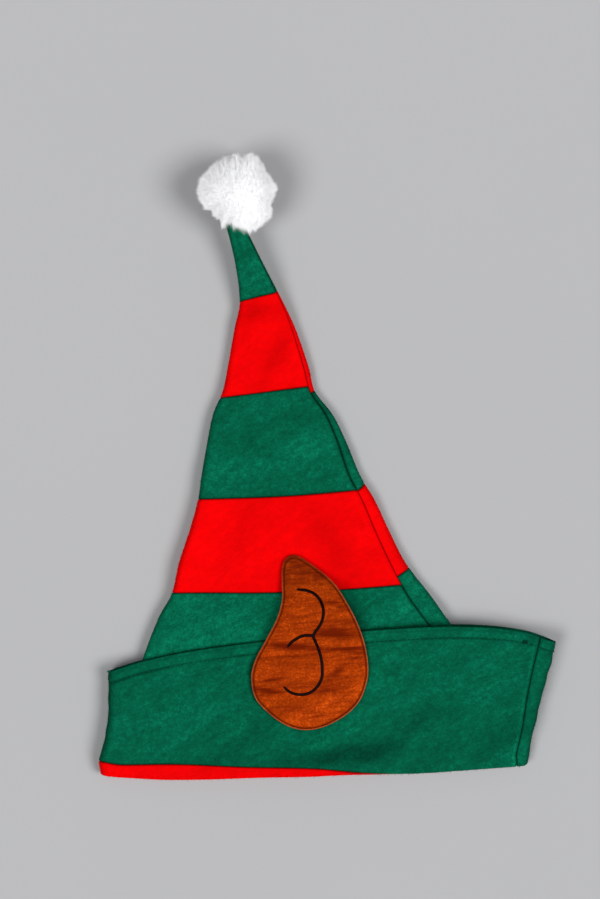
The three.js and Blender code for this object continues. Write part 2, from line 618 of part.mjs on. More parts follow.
// The part's origin is the middle of its footprint, on the surface it lies on.
const bounds = new THREE.Box3().setFromObject(hat);
const middle = bounds.getCenter(new THREE.Vector3());
hat.position.set(-middle.x, -middle.y, -bounds.min.z);

export default hat;
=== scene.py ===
"""An elf hat of craft felt that lies on its side: a cone of red and green stripes with a turned-up
cuff, a padded ear on each side and a pompom of white pile on the tip."""

import math

import bmesh
import bpy
import numpy as np
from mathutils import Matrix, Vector


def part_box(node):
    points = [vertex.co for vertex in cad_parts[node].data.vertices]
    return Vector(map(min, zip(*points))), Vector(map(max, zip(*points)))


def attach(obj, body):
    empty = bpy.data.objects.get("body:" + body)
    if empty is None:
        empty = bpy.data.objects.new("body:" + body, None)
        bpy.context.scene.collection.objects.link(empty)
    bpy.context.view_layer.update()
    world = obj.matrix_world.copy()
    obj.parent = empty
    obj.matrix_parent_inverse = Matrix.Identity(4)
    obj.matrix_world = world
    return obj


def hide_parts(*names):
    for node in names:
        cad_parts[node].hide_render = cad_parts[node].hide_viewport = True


bl_info = {
    "name": "Elf hat",
    "version": (1, 0, 0),
    "blender": (4, 5, 0),
    "location": "3D View > Sidebar > Elf hat",
    "description": "Builds an elf hat of striped felt with ears and a pompom",
    "category": "Add Mesh",
}

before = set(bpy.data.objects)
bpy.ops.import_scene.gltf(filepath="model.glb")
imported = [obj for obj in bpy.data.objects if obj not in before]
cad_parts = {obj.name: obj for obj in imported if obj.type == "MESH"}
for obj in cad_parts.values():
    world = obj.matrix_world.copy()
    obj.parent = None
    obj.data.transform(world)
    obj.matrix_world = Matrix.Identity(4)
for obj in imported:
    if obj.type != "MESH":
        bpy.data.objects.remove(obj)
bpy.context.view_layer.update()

MM = 0.001
# Where the middle of the mouth lies in the part's frame, in millimetres
MOUTH_PLACE = np.array([-9.61, -215.75, 0.0])

# The hat's sizes in millimetres. X runs across the mouth and Y from the mouth to the tip.
MOUTH_WIDTH = 294
CONE_LENGTH = 392
FELT = 1.6
SIDE_FOLD_RADIUS = 3.8
MOUTH_LOFT = 9
SEAM_OFFSET = 15
SEAM_CLEARANCE = 0.2  # between two pieces of felt that are sewn edge to edge
CUFF_HEIGHT = 100
CUFF_GAP = 1
CUFF_EXTRA_LOFT = 2.5
CUFF_FLARE = 19
# How much higher the springy folds stand, at the cuff's left and right end and at the cone's
# left side, and how far in from the fold that reaches
CUFF_END_LIFT = (5, 8)
CONE_EDGE_LIFT = 6
LIFT_REACH = 17
HEM_WIDTH = 8.5
HEM_THICKNESS = 1
KNOT_PLACE = 146.4
KNOT_REACH = 2.6
DRAPE = 32
EAR_DRAPE = 60
EAR_LENGTH = 120
EAR_WIDTH = 80
EAR_PADDING = 4.6
UNDER_EAR_THICKNESS = 3
EAR_GAP = 0.8
EAR_CENTRE = (-3, 96.2)
POMPOM_DIAMETER = 57
POMPOM_MEAN_REACH = 0.97


def table(names, *rows):
    """A shape's shares as one array for each named column."""
    return dict(zip(names.split(), np.array(rows, float).T))


# The cone's sections, from the mouth to the tip. along is a share of the cone's length. left and
# right are the side folds, as shares of the mouth's width from its middle. seam is a share of
# SEAM_OFFSET, loft of MOUTH_LOFT, fold of SIDE_FOLD_RADIUS, and lift of the pompom's diameter.
CONE_SECTIONS = table(
    "along left right seam loft fold lift",
    (0.0, -0.4965, 0.499, 0.38, 1.0, 1.0, 0.0),
    (0.214, -0.404, 0.381, 1.0, 1.1, 1.0, 0.0),
    (0.286, -0.367, 0.314, 1.06, 1.15, 1.0, 0.0),
    (0.327, -0.337, 0.275, 1.06, 1.12, 1.08, 0.0),
    (0.383, -0.319, 0.218, 0.72, 1.05, 1.2, 0.0),
    (0.439, -0.2945, 0.18, 0.66, 1.0, 1.25, 0.0),
    (0.495, -0.274, 0.145, 0.6, 0.95, 1.25, 0.0),
    (0.536, -0.266, 0.112, 0.52, 0.85, 1.25, 0.0),
    (0.602, -0.251, 0.075, 0.4, 0.75, 1.25, 0.0),
    (0.648, -0.238, 0.044, 0.33, 0.7, 1.25, 0.0),
    (0.687, -0.216, 0.004, 0.22, 0.65, 1.25, 0.0),
    (0.73, -0.204, -0.011, 0.24, 0.55, 1.25, 0.01),
    (0.801, -0.187, -0.044, 0.16, 0.45, 1.25, 0.03),
    (0.844, -0.175, -0.071, 0.08, 0.35, 1.25, 0.08),
    (0.913, -0.185, -0.119, 0.04, 0.2, 1.25, 0.2),
    (1.0, -0.213, -0.177, 0.04, 0.05, 1.35, 0.36),
)

# The seams between stripes, from the mouth up, as shares of the cone's length: on the left side
# seam beneath, on the left fold, on the right side seam in front and behind it, and on the right
# fold. bow bends the stretch across the front.
STRIPE_SEAMS = table(
    "under left front back fold bow",
    (0.151, 0.161, 0.173, 0.186, 0.209, -0.004),
    (0.318, 0.33, 0.344, 0.356, 0.375, -0.004),
    (0.487, 0.496, 0.512, 0.51, 0.525, -0.003),
    (0.668, 0.675, 0.696, 0.684, 0.69, 0.0),
    (0.84, 0.845, 0.862, 0.862, 0.866, 0.0),
)
STRIPE_NAMES = ("red_mouth", "green_low", "red_low", "green_high", "red_high", "green_tip")
# Painted light: how much lighter some green stripes are made, for the light that falls on them
STRIPE_PAINTED_LIGHT = {"green_low": 0.3, "green_high": 0.07, "green_tip": 0.17}

# The mouth's fold line as shares of the cone's length at shares of the mouth's width. wrap is how
# far up the outside of the cuff its seam with the red stripe has rolled.
MOUTH_LINE = table(
    "across along wrap",
    (-0.5, 0.006, 0.0266),
    (-0.45, 0.0025, 0.0236),
    (-0.33, -0.0007, 0.0285),
    (-0.15, 0.0044, 0.0195),
    (0.0, 0.0082, 0.0145),
    (0.1, 0.0105, 0.0045),
    (0.2, 0.011, 0.0),
    (0.3, 0.0135, -0.003),
    (0.5, 0.023, -0.005),
)

# The cuff's top edge, as shares of the cuff's height at shares of its own width
CUFF_TOP = table(
    "across along",
    (0.0, 0.75), (0.08, 0.825), (0.18, 0.892), (0.32, 0.961), (0.48, 1.018), (0.63, 1.055),
    (0.81, 1.066), (0.93, 1.028), (1.0, 0.956),
)

# How far the cuff's ends move outwards from the mouth to its top edge, as shares of CUFF_FLARE
CUFF_ENDS = table(
    "along left right",
    (0.0, 0.0, 0.0),
    (0.1, 0.05, 0.08),
    (0.2, -0.03, 0.13),
    (0.35, -0.18, 0.3),
    (0.6, -0.3, 0.59),
    (0.8, -0.3, 0.82),
    (1.0, -0.33, 1.0),
)

# The cuff's side seam on its front, as shares of the mouth's width from its middle
CUFF_SEAM = table(
    "along across",
    (0.0, 0.474), (0.115, 0.4805), (0.285, 0.491), (0.49, 0.501), (0.69, 0.5125), (0.93, 0.529),
    (1.0, 0.533),
)

# Soft dents and folds in the upper felt. across and along are shares of the mouth's width and the
# cone's length, turn is in degrees from X, reach and breadth are shares of the mouth's width, and
# depth is a share of the felt, down where negative.
SOFT_FOLDS = table(
    "across along turn reach breadth depth",
    (-0.33, 0.1, 25, 0.2, 0.035, 0.7),
    (-0.2, 0.05, 20, 0.16, 0.035, -0.6),
    (0.33, 0.12, 35, 0.18, 0.04, 0.9),
    (0.42, 0.07, 40, 0.12, 0.035, -0.7),
    (0.22, 0.03, 12, 0.14, 0.035, -0.5),
    (-0.12, 0.43, -55, 0.2, 0.045, 0.8),
    (0.05, 0.41, -62, 0.16, 0.04, -0.7),
    (-0.14, 0.6, 15, 0.14, 0.035, -0.6),
    (-0.03, 0.56, -50, 0.12, 0.035, 0.6),
    (-0.14, 0.83, 4, 0.08, 0.022, -1.0),
    (-0.09, 0.75, 60, 0.1, 0.025, -0.8),
    (0.25, 0.11, 35, 0.13, 0.028, -0.9),
    (0.03, 0.042, 6, 0.19, 0.024, -1.15),
    (0.14, 0.11, 32, 0.14, 0.03, 0.5),
    (0.1, 0.055, 12, 0.12, 0.025, -0.6),
    (0.33, 0.19, 38, 0.1, 0.03, 0.6),
    (-0.22, 0.13, 32, 0.16, 0.03, -0.6),
    (-0.3, 0.06, 28, 0.13, 0.03, 0.5),
    (-0.03, 0.3, 8, 0.12, 0.03, -0.5),
    (-0.2, 0.36, 50, 0.1, 0.03, 0.5),
    (-0.1, 0.9, 70, 0.04, 0.02, 0.7),
    (-0.15, 0.93, 10, 0.03, 0.012, -0.6),
)

# An ear's outline from lobe to tip: left and right are shares of its width, from its middle
EAR_OUTLINE = table(
    "along left right",
    (0.0, -0.03, -0.03),
    (0.045, -0.247, 0.208),
    (0.1, -0.355, 0.338),
    (0.18, -0.462, 0.441),
    (0.3, -0.5, 0.5),
    (0.4, -0.466, 0.5),
    (0.52, -0.372, 0.464),
    (0.64, -0.28, 0.395),
    (0.74, -0.238, 0.314),
    (0.84, -0.236, 0.213),
    (0.92, -0.237, 0.075),
    (0.97, -0.214, -0.032),
    (1.0, -0.14, -0.14),
)
EAR_OUTLINE["from_tip"] = -np.arccos(2 * EAR_OUTLINE["along"] - 1)

# Creases of the upper ear where it passes over the cuff's edge, as shares of the ear's width and
# length, with their depth in millimetres, down where negative
EAR_CREASES = table(
    "across along turn reach breadth depth",
    (0.3, 0.47, 1, 0.2, 0.016, -1.3),
    (0.3, 0.502, 2, 0.22, 0.022, 0.7),
    (0.42, 0.446, -5, 0.08, 0.012, -0.8),
    (0.4, 0.42, 5, 0.1, 0.012, -0.7),
    (0.22, 0.562, 2, 0.2, 0.045, -1.2),
    (-0.15, 0.485, -5, 0.22, 0.035, -1.1),
    (-0.17, 0.425, 5, 0.26, 0.014, -0.7),
    (-0.2, 0.45, 4, 0.2, 0.02, 0.5),
    (0.26, 0.355, 40, 0.14, 0.04, -1.1),
    (0.33, 0.4, 38, 0.12, 0.025, 0.6),
    (-0.36, 0.228, -8, 0.14, 0.03, -0.9),
    (-0.33, 0.29, 10, 0.12, 0.025, -0.5),
    (0.15, 0.235, 6, 0.14, 0.035, -0.8),
    (0.22, 0.725, -14, 0.14, 0.03, -0.7),
    (-0.12, 0.7, 8, 0.14, 0.018, 0.4),
    (-0.08, 0.655, 10, 0.16, 0.02, -0.5),
    (-0.05, 0.86, -4, 0.2, 0.03, -0.25),
)

# The pompom's outline from above: how far it reaches, as shares of its radius, by the direction
# in degrees from X
POMPOM_LOBES = table(
    "turn reach",
    (-174, 0.965), (-168, 0.96), (-162, 0.89), (-156, 0.91), (-150, 0.69), (-144, 0.745),
    (-138, 0.795), (-132, 0.795), (-126, 0.73), (-120, 0.765), (-115, 0.95), (-108, 0.87),
    (-102, 0.86), (-96, 0.95), (-84, 1.045), (-75, 1.04), (-60, 0.975), (-42, 0.965), (-34, 0.99),
    (-24, 0.93), (-18, 0.825), (-12, 0.875), (0, 0.935), (9, 1.0), (18, 0.935), (24, 0.88),
    (30, 0.91), (36, 0.885), (45, 0.945), (54, 0.97), (60, 1.04), (72, 1.065), (79, 0.95),
    (84, 0.92), (90, 0.98), (96, 0.95), (108, 0.93), (120, 0.94), (147, 0.94), (160, 0.99),
    (179, 0.97),
)

# The lines embroidered on an ear, each from its free end to where they meet, as shares of the
# ear's width and length from its lobe
EAR_LINES = (
    ((-0.11, 0.807), (-0.02, 0.8), (0.05, 0.778), (0.1, 0.734), (0.12, 0.676), (0.1, 0.618),
     (0.05, 0.567), (0.03, 0.542)),
    ((-0.19, 0.477), (-0.15, 0.509), (-0.09, 0.535), (-0.04, 0.546), (0.03, 0.545)),
    ((-0.22, 0.252), (-0.17, 0.223), (-0.1, 0.208), (-0.02, 0.212), (0.05, 0.241), (0.1, 0.292),
     (0.11, 0.35), (0.1, 0.415), (0.07, 0.48), (0.028, 0.545)),
)


# The felt's surfaces


def smoothstep(at, low, high):
    share = np.clip((at - low) / (high - low), 0, 1)
    return share * share * (3 - 2 * share)


def lerp(low, high, share):
    return low + (high - low) * share


def bell(distance, reach):
    return np.exp(-((distance / reach) ** 2))


def curve(rows, column, at, place="along"):
    """A table's column at any places between its rows, on a smooth curve through them."""
    places, values = rows[place], rows[column]
    last = len(places) - 1
    below = np.maximum(np.arange(last + 1) - 1, 0)
    above = np.minimum(np.arange(last + 1) + 1, last)
    slopes = (values[above] - values[below]) / (places[above] - places[below])
    i = np.clip(np.searchsorted(places, at, side="right") - 1, 0, last - 1)
    span = places[i + 1] - places[i]
    t = np.clip((at - places[i]) / span, 0, 1)
    return (
        (2 * t**3 - 3 * t**2 + 1) * values[i]
        + (t**3 - 2 * t**2 + t) * span * slopes[i]
        + (3 * t**2 - 2 * t**3) * values[i + 1]
        + (t**3 - t**2) * span * slopes[i + 1]
    )


def creases(rows, x, y, width, length, unit):
    """The height of a table's soft folds at places on the felt."""
    height = np.zeros(np.broadcast(x, y).shape)
    for across, along, turn, reach, breadth, depth in zip(
        *(rows[name] for name in ("across", "along", "turn", "reach", "breadth", "depth"))
    ):
        dx, dy = x - across * width, y - along * length
        turn = math.radians(turn)
        lengthways = (dx * math.cos(turn) + dy * math.sin(turn)) / (reach * width)
        sideways = (dy * math.cos(turn) - dx * math.sin(turn)) / (breadth * width)
        height = height + depth * unit * np.exp(-(lengthways**2) - sideways**2)
    return height


def waves(x, y, wavelength, height, seed, count=18):
    """Soft irregular waves, of a typical wavelength and height."""
    rng = np.random.default_rng(seed)
    total = 0
    for _ in range(count):
        turn, phase = rng.uniform(0, 2 * math.pi, 2)
        scale = 2 * math.pi / (wavelength * rng.uniform(0.6, 1.7))
        total = total + np.sin((x * math.cos(turn) + y * math.sin(turn)) * scale + phase)
    return total * height / math.sqrt(count / 2)


def rumples(x, y):
    """How far the upper felt stands off its smooth shape: folds, and the slight waves of felt."""
    folds = creases(SOFT_FOLDS, x, y, MOUTH_WIDTH, CONE_LENGTH, FELT)
    return folds + waves(x, y, 36, 0.34, 3) + waves(x, y, 13, 0.1, 5)


def under_ear_lift(x, y):
    dx, dy = x - EAR_CENTRE[0], y - EAR_CENTRE[1]
    outside = np.hypot(dx * EAR_LENGTH / EAR_WIDTH, dy) - EAR_LENGTH / 2 - 0.35
    return (UNDER_EAR_THICKNESS + EAR_GAP) * (1 - smoothstep(outside, 0, EAR_DRAPE))


def mouth_line(x):
    return CONE_LENGTH * curve(MOUTH_LINE, "along", x / MOUTH_WIDTH, "across")


def cuff_line(x):
    """Where the cuff starts to turn up."""
    return mouth_line(x) + FELT + CUFF_GAP / 2


CUFF_REACH = FELT + CUFF_GAP


def cuff_ends(share):
    bumps = 0.2 * np.sin(23 * share + 1.0) + 0.14 * np.sin(41 * share)
    bumps = bumps * smoothstep(share, 0, 0.15) * smoothstep(1 - share, 0, 0.1)
    left = MOUTH.left - CUFF_REACH - CUFF_FLARE * curve(CUFF_ENDS, "left", share)
    right = MOUTH.right + CUFF_REACH + CUFF_FLARE * curve(CUFF_ENDS, "right", share)
    return left + 0.5 * bumps, right + bumps


def cuff_top(x):
    left, right = cuff_ends(1.0)
    return CUFF_HEIGHT * curve(CUFF_TOP, "along", (x - left) / (right - left), "across")


def cone_lift(x, y):
    """How far the felt beneath the cone lifts it: the cuff, its hem, the lower ear, the pompom."""
    edge = cuff_top(x)
    hem = HEM_THICKNESS * smoothstep(y, edge - HEM_WIDTH - DRAPE, edge - HEM_WIDTH)
    stack = (CUFF_REACH + hem) * (1 - smoothstep(y, edge + DRAPE / 4, edge + DRAPE))
    tip = POMPOM_DIAMETER * np.maximum(0, curve(CONE_SECTIONS, "lift", y / CONE_LENGTH))
    return stack + tip + under_ear_lift(x, y)


class Section:
    """A flattened tube's section. Its stations run from 0 to 1 round the left fold, from beneath
    to above, to 2 across the upper wall, to 3 round the right fold and to 4 back beneath."""

    def __init__(self, left, right, fold, loft, seam=0.0):
        self.left, self.right, self.fold, self.loft, self.seam = left, right, fold, loft, seam
        self.wall = right - left - 2 * fold
        self.turn = math.pi * fold

    def point(self, station, offset):
        """x and z at a station, offset outwards."""
        s = np.mod(station, 4)
        radius = self.fold + offset
        left_turn, right_turn = math.pi * (s - 0.5), math.pi * (2.5 - s)
        middle = np.clip(2 * (s - 1) - 1, -1, 1)
        dome = self.loft * (1 - middle**2) ** 1.5
        parts = [s < 1, s < 2, s < 3]
        x = np.select(
            parts,
            [
                self.left + self.fold - radius * np.cos(left_turn),
                self.left + self.fold + (s - 1) * self.wall,
                self.right - self.fold + radius * np.cos(right_turn),
            ],
            self.right - self.fold - (s - 3) * self.wall,
        )
        z = np.select(
            parts,
            [
                self.fold + radius * np.sin(left_turn),
                2 * self.fold + dome + offset,
                self.fold + radius * np.sin(right_turn),
            ],
            -offset + 0 * s,
        )
        return x, z

    def girth(self, station):
        """The length round the section to a station."""
        whole = math.floor(station)
        rest = (station - whole) * (self.wall if whole % 2 else self.turn)
        return math.ceil(whole / 2) * self.turn + math.floor(whole / 2) * self.wall + rest

    def station(self, girth):
        found = np.zeros(np.broadcast(girth, self.wall).shape)
        for whole in range(-1, 5):
            low, high = self.girth(whole), self.girth(whole + 1)
            found = np.where(girth >= low, whole + (girth - low) / (high - low), found)
        return found

    def seams(self):
        """The girths of the two side seams: the left one is beneath, the right one on top."""
        turned = self.fold * (np.arccos(1 - np.minimum(self.seam / self.fold, 1)) - math.pi / 2)
        past = np.where(self.seam >= self.fold, self.seam - self.fold, turned)
        return -past, self.girth(2) - past

    def panel(self, panel):
        """The girths where a panel starts and ends."""
        under_left, front_right = self.seams()
        clear = SEAM_CLEARANCE / 2
        if panel == "front":
            return under_left + clear, front_right - clear
        return front_right + clear, under_left + self.girth(4) - clear

    def above(self, station):
        """0 beneath and 1 on the upper felt."""
        return np.clip(self.point(station, 0)[1] / (2 * self.fold), 0, 1)


def cone_section(y, towards_mouth=0.0):
    value = {name: curve(CONE_SECTIONS, name, y / CONE_LENGTH) for name in CONE_SECTIONS}
    first = {name: CONE_SECTIONS[name][0] for name in CONE_SECTIONS}
    value = {name: lerp(value[name], first[name], towards_mouth) for name in value}
    return Section(
        MOUTH_WIDTH * value["left"],
        MOUTH_WIDTH * value["right"],
        SIDE_FOLD_RADIUS * value["fold"],
        MOUTH_LOFT * value["loft"],
        SEAM_OFFSET * value["seam"],
    )


MOUTH = cone_section(0.0)


def cone_point(station, y, raised, section=None):
    """A point of the cone's wall, from 0 on its outside to 1 on its inside."""
    section = section or cone_section(y)
    x, z = section.point(station, -FELT * raised)
    along = y / CONE_LENGTH
    spring = CONE_EDGE_LIFT * bell(x - section.left, LIFT_REACH)
    spring = spring * smoothstep(along, 0.2, 0.34) * (1 - smoothstep(along, 0.42, 0.86))
    z = z + cone_lift(x, y) + section.above(station) * (rumples(x, y) + spring)
    return np.stack([x, y + 0 * x, z], -1)


HEM_START = 1 - HEM_WIDTH / CUFF_HEIGHT
HEM_EDGE = 0.02
STITCH_LINE = 8.1  # from the cuff's top edge to the stitches that hold its hem


def cuff_section(share):
    left, right = cuff_ends(share)
    return Section(left, right, MOUTH.fold + CUFF_REACH, MOUTH.loft + share * CUFF_EXTRA_LOFT)


def cuff_point(station, share, raised):
    """A point of the cuff, from 0 on the felt that faces the cone to 1 on its outside."""
    section = cuff_section(share)
    above = section.above(station)
    start = cuff_line(MOUTH.point(station, 0)[0])
    hem = HEM_THICKNESS * smoothstep(share, HEM_START - HEM_EDGE, HEM_START)
    offset = FELT * (raised - 1) + hem * (above * raised - (1 - above) * (1 - raised))
    x, z = section.point(station, offset)
    edge = cuff_top(x)
    y = lerp(start, edge, share)
    from_edge = (1 - share) * (edge - start)
    away = from_edge - STITCH_LINE
    groove = 0.5 * bell(away, 2.2) + 0.6 * bell(away, 0.75)
    puff = 0.5 * bell(away + STITCH_LINE / 2, 2.6)
    pucker = 0.12 * np.sin(x * 1.9 + 3 * np.sin(x * 0.13)) * bell(away, 3)
    z = z + raised * (above * (puff - groove + pucker) + (1 - above) * groove / 2)
    left_lift, right_lift = CUFF_END_LIFT
    spring = left_lift * bell(x - section.left, LIFT_REACH)
    spring = spring + right_lift * bell(section.right - x, LIFT_REACH)
    spring = spring * smoothstep(share, 0, 0.3)
    z = z + under_ear_lift(x, y) + above * (rumples(x, y) + spring)
    return np.stack([x, y, z], -1)


# The felt comes down the cone, turns up at the mouth and becomes the cuff. travel is measured
# along it from where the turn starts.
TURN_LENGTH = math.pi * (CUFF_GAP + FELT) / 2


def mouth_point(station, travel, raised):
    start = cuff_line(MOUTH.point(station, 0)[0])
    down = np.minimum(travel, 0)
    cone = cone_point(station, start - down, raised, mouth_section(start - down, down))
    cuff_share = np.maximum(travel - TURN_LENGTH, 0) / (cuff_height(station))
    cuff = cuff_point(station, np.clip(cuff_share, 0, 1), raised)
    angle = math.pi * np.clip(travel / TURN_LENGTH, 0, 1)
    radius = CUFF_GAP / 2 + FELT * raised
    x, z = MOUTH.point(station, CUFF_GAP / 2 - radius * np.cos(angle))
    y = start - radius * np.sin(angle)
    lift = CUFF_REACH + under_ear_lift(x, y) + MOUTH.above(station) * rumples(x, y)
    turn = np.stack([x, y, z + lift], -1)
    place = np.where((travel <= 0)[..., None], cone, turn)
    return np.where((travel >= TURN_LENGTH)[..., None], cuff, place)


def mouth_section(y, travel):
    """The cone's section near the mouth, which takes the mouth's own shape at the turn."""
    return cone_section(y, smoothstep(travel, -14, 0))


def cuff_height(station):
    x = MOUTH.point(station, 0)[0]
    return cuff_top(x) - cuff_line(x)


def cuff_seam_travel(station):
    """Where the red stripe's seam with the cuff lies."""
    x = MOUTH.point(station, 0)[0]
    return TURN_LENGTH / 2 + CONE_LENGTH * curve(MOUTH_LINE, "wrap", x / MOUTH_WIDTH, "across")


def stripe_seam(index, station, panel):
    """A stripe seam's place along the cone, at stations of the front or the back panel."""
    row = {name: STRIPE_SEAMS[name][index] for name in STRIPE_SEAMS}
    section = cone_section(CONE_LENGTH * row["left"])
    under_left, front_right = section.seams()
    girth = np.select(
        [station < 0, station < 1, station < 2, station < 3, station < 4],
        [
            station * section.wall,
            station * section.turn,
            section.girth(1) + (station - 1) * section.wall,
            section.girth(2) + (station - 2) * section.turn,
            section.girth(3) + (station - 3) * section.wall,
        ],
        section.girth(4) + (station - 4) * section.turn,
    )

    def share_of(low, high):
        return np.clip((girth - low) / (high - low), 0, 1)

    left_fold, right_fold = section.girth(0.5), section.girth(2.5)
    if panel == "back":
        rising = lerp(row["back"], row["fold"], share_of(front_right, right_fold))
        falling = lerp(row["fold"], row["under"], share_of(right_fold, section.girth(4) + under_left))
        return CONE_LENGTH * np.where(girth < right_fold, rising, falling)
    share = share_of(left_fold, front_right)
    across = lerp(row["left"], row["front"], share) + row["bow"] * np.sin(math.pi * share)
    round_fold = lerp(row["under"], row["left"], share_of(under_left, left_fold))
    return CONE_LENGTH * np.where(girth < left_fold, round_fold, across)


def felt_top(x, y):
    """The height of the felt that the upper ear lies on."""
    cone = cone_point(1 + wall_share(cone_section(y), x), y, 0.0)[..., 2]
    edge = cuff_top(x)
    share = np.clip((y - cuff_line(x)) / (edge - cuff_line(x)), 0, 0.985)
    cuff = cuff_point(1 + wall_share(cuff_section(share), x), share, 1.0)[..., 2]
    return lerp(np.maximum(cuff, cone), cone, smoothstep(y, edge + DRAPE * 0.4, edge + DRAPE * 1.6))


def wall_share(section, x):
    return np.clip((x - section.left - section.fold) / section.wall, 0.001, 0.999)


# Meshes


EDGE_STEPS = np.array([0, 0.05, 0.18, 0.4, 0.7, 1.1, 1.7])
EDGE_ROUND = 0.95  # how far in from a sewn edge the felt keeps its full thickness


def stops(steps):
    """Places across a patch, close together at both edges: shares, and offsets in millimetres."""
    inner = np.linspace(0, 1, max(3, steps) + 1)[1:-1]
    shares = np.concatenate([0 * EDGE_STEPS, inner, 0 * EDGE_STEPS + 1])
    offsets = np.concatenate([EDGE_STEPS, EDGE_STEPS[-1] * (1 - 2 * inner), -EDGE_STEPS[::-1]])
    return shares, offsets


def fullness(distance, reach=EDGE_ROUND):
    """How much of its thickness the felt has at a distance from its edge."""
    return np.sqrt(1 - (1 - np.clip(distance / reach, 0, 1)) ** 2)


def grid_faces(rows, columns, index):
    ids = index.reshape(rows, columns)
    quads = np.stack([ids[:-1, :-1], ids[:-1, 1:], ids[1:, 1:], ids[1:, :-1]], -1)
    return quads.reshape(-1, 4)


def slab(outer, inner):
    """A closed skin of two grids of points that meet at their border."""
    rows, columns = outer.shape[:2]
    border = np.zeros((rows, columns), bool)
    border[[0, -1], :] = True
    border[:, [0, -1]] = True
    outer_ids = np.arange(rows * columns)
    inner_ids = outer_ids.copy()
    free = ~border.ravel()
    inner_ids[free] = rows * columns + np.arange(free.sum())
    points = np.concatenate([outer.reshape(-1, 3), inner.reshape(-1, 3)[free]])
    faces = np.concatenate(
        [grid_faces(rows, columns, outer_ids), grid_faces(rows, columns, inner_ids)[:, ::-1]]
    )
    source = np.concatenate([outer_ids, outer_ids[free]])
    return points, faces, source


def outward(points, faces):
    """The faces turned so that their normals point out of the closed skin."""
    a, b, c = (points[faces[:, i]] for i in range(3))
    d = points[faces[:, -1]]
    volume = (a * np.cross(b, c)).sum() + (a * np.cross(c, d)).sum()
    return faces[:, ::-1] if volume < 0 else faces


def new_piece(name, points, faces, material, slot, replaces=(), values=None, normals=None):
    """A smooth mesh piece of the hat from points in the hat's own millimetres."""
    mesh = bpy.data.meshes.new(name)
    placed = (points + MOUTH_PLACE) * MM
    sides = faces.shape[1]
    mesh.vertices.add(len(placed))
    mesh.vertices.foreach_set("co", placed.astype(np.float32).ravel())
    mesh.loops.add(faces.size)
    mesh.loops.foreach_set("vertex_index", faces.astype(np.int32).ravel())
    mesh.polygons.add(len(faces))
    mesh.polygons.foreach_set("loop_start", np.arange(len(faces), dtype=np.int32) * sides)
    mesh.polygons.foreach_set("use_smooth", np.ones(len(faces), bool))
    for key, data in (values or {}).items():
        attribute = mesh.attributes.new(key, "FLOAT", "POINT")
        attribute.data.foreach_set("value", np.asarray(data, np.float32).ravel())
    mesh.update(calc_edges=True)
    mesh.validate()
    if normals is not None:
        mesh.normals_split_custom_set_from_vertices(normals)
    mesh.materials.append(material)
    piece = bpy.data.objects.new(name, mesh)
    bpy.context.scene.collection.objects.link(piece)
    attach(piece, "root")
    if replaces:
        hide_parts(*replaces)
    return piece


def crease_shade(points):
    """Painted shade: how much the felt's colour is darkened in its folds, and beside the ear."""
    folds = creases(SOFT_FOLDS, points[..., 0], points[..., 1], MOUTH_WIDTH, CONE_LENGTH, 1.0)
    return np.maximum(0.48 * np.clip(-folds, 0, 1.4), shadow_beside_ear(points[..., 0], points[..., 1]))


def shadow_beside_ear(x, y):
    """Painted shadow: how much the felt is darkened along the edge of the raised ear."""
    dx, along = x - EAR_CENTRE[0], (y - EAR_CENTRE[1]) / EAR_LENGTH + 0.5
    near = (np.abs(dx) < EAR_WIDTH * 0.65) & (np.abs(along - 0.5) < 0.6)
    away = np.full(x.shape, np.inf)
    away[near] = distance_to(ear_outline(), x[near], y[near])
    at_right = bell(along - 0.67, 0.14) * smoothstep(dx, 0, 15)
    at_left = bell(along - 0.33, 0.15) * smoothstep(-dx, 5, 20)
    reach = 1.5 + 1.9 * at_right + 0.5 * at_left
    return (0.36 + 0.5 * at_right + 0.45 * at_left) * bell(away, reach)


def fold_shade(above, start=0.04, full=0.5):
    """Painted shade where the felt turns down at the hat's sides, away from the light."""
    return 0.55 * smoothstep(1 - above, start, full) * smoothstep(above, 0.1, 0.35)


def felt_piece(
    name, place, du, dv, material, slot, node, line=0.0, side=(1.0, 0.8), sewn=None, lighter=0.0
):
    """A piece of felt: place gives its points at any depth, du and dv are the distances to its
    edges, and its edges are rounded. line is painted shade on it, side is the strength and the
    reach of the darkening at its side seams, and sewn the distance to its other seams where it
    isn't dv; the seams are darkened partly for their mixed fibres and partly as painted shade.
    lighter is painted light taken off that darkening."""
    full = fullness(du, min(EDGE_ROUND, 1.2 * side[1])) * fullness(dv)
    outer, inner = place(0.5 - 0.5 * full), place(0.5 + 0.5 * full)
    points, faces, source = slab(outer, inner)
    line = np.maximum(line, crease_shade(outer))
    # The seams darkened, partly as painted shade, and the painted light taken off
    sides = side[0] * bell(du, side[1])
    across = bell(dv if sewn is None else sewn, 0.8)
    seam = (np.maximum(np.maximum(across, sides), line) - lighter).ravel()[source]
    return new_piece(name, points, outward(points, faces), material, slot, [node], {"seam": seam})


def smooth_path(points, spacing):
    """Points evenly spaced on a smooth curve through the given ones."""
    points = np.asarray(points, float)
    padded = np.concatenate([[2 * points[0] - points[1]], points, [2 * points[-1] - points[-2]]])
    t = np.linspace(0, 1, 40, endpoint=False)[:, None]
    parts = []
    for a, b, c, d in zip(padded, padded[1:], padded[2:], padded[3:]):
        parts.append(
            0.5 * (2 * b + (c - a) * t + (2 * a - 5 * b + 4 * c - d) * t**2
                   + (3 * b - a - 3 * c + d) * t**3)
        )
    return evenly(np.concatenate([*parts, points[-1:]]), spacing)


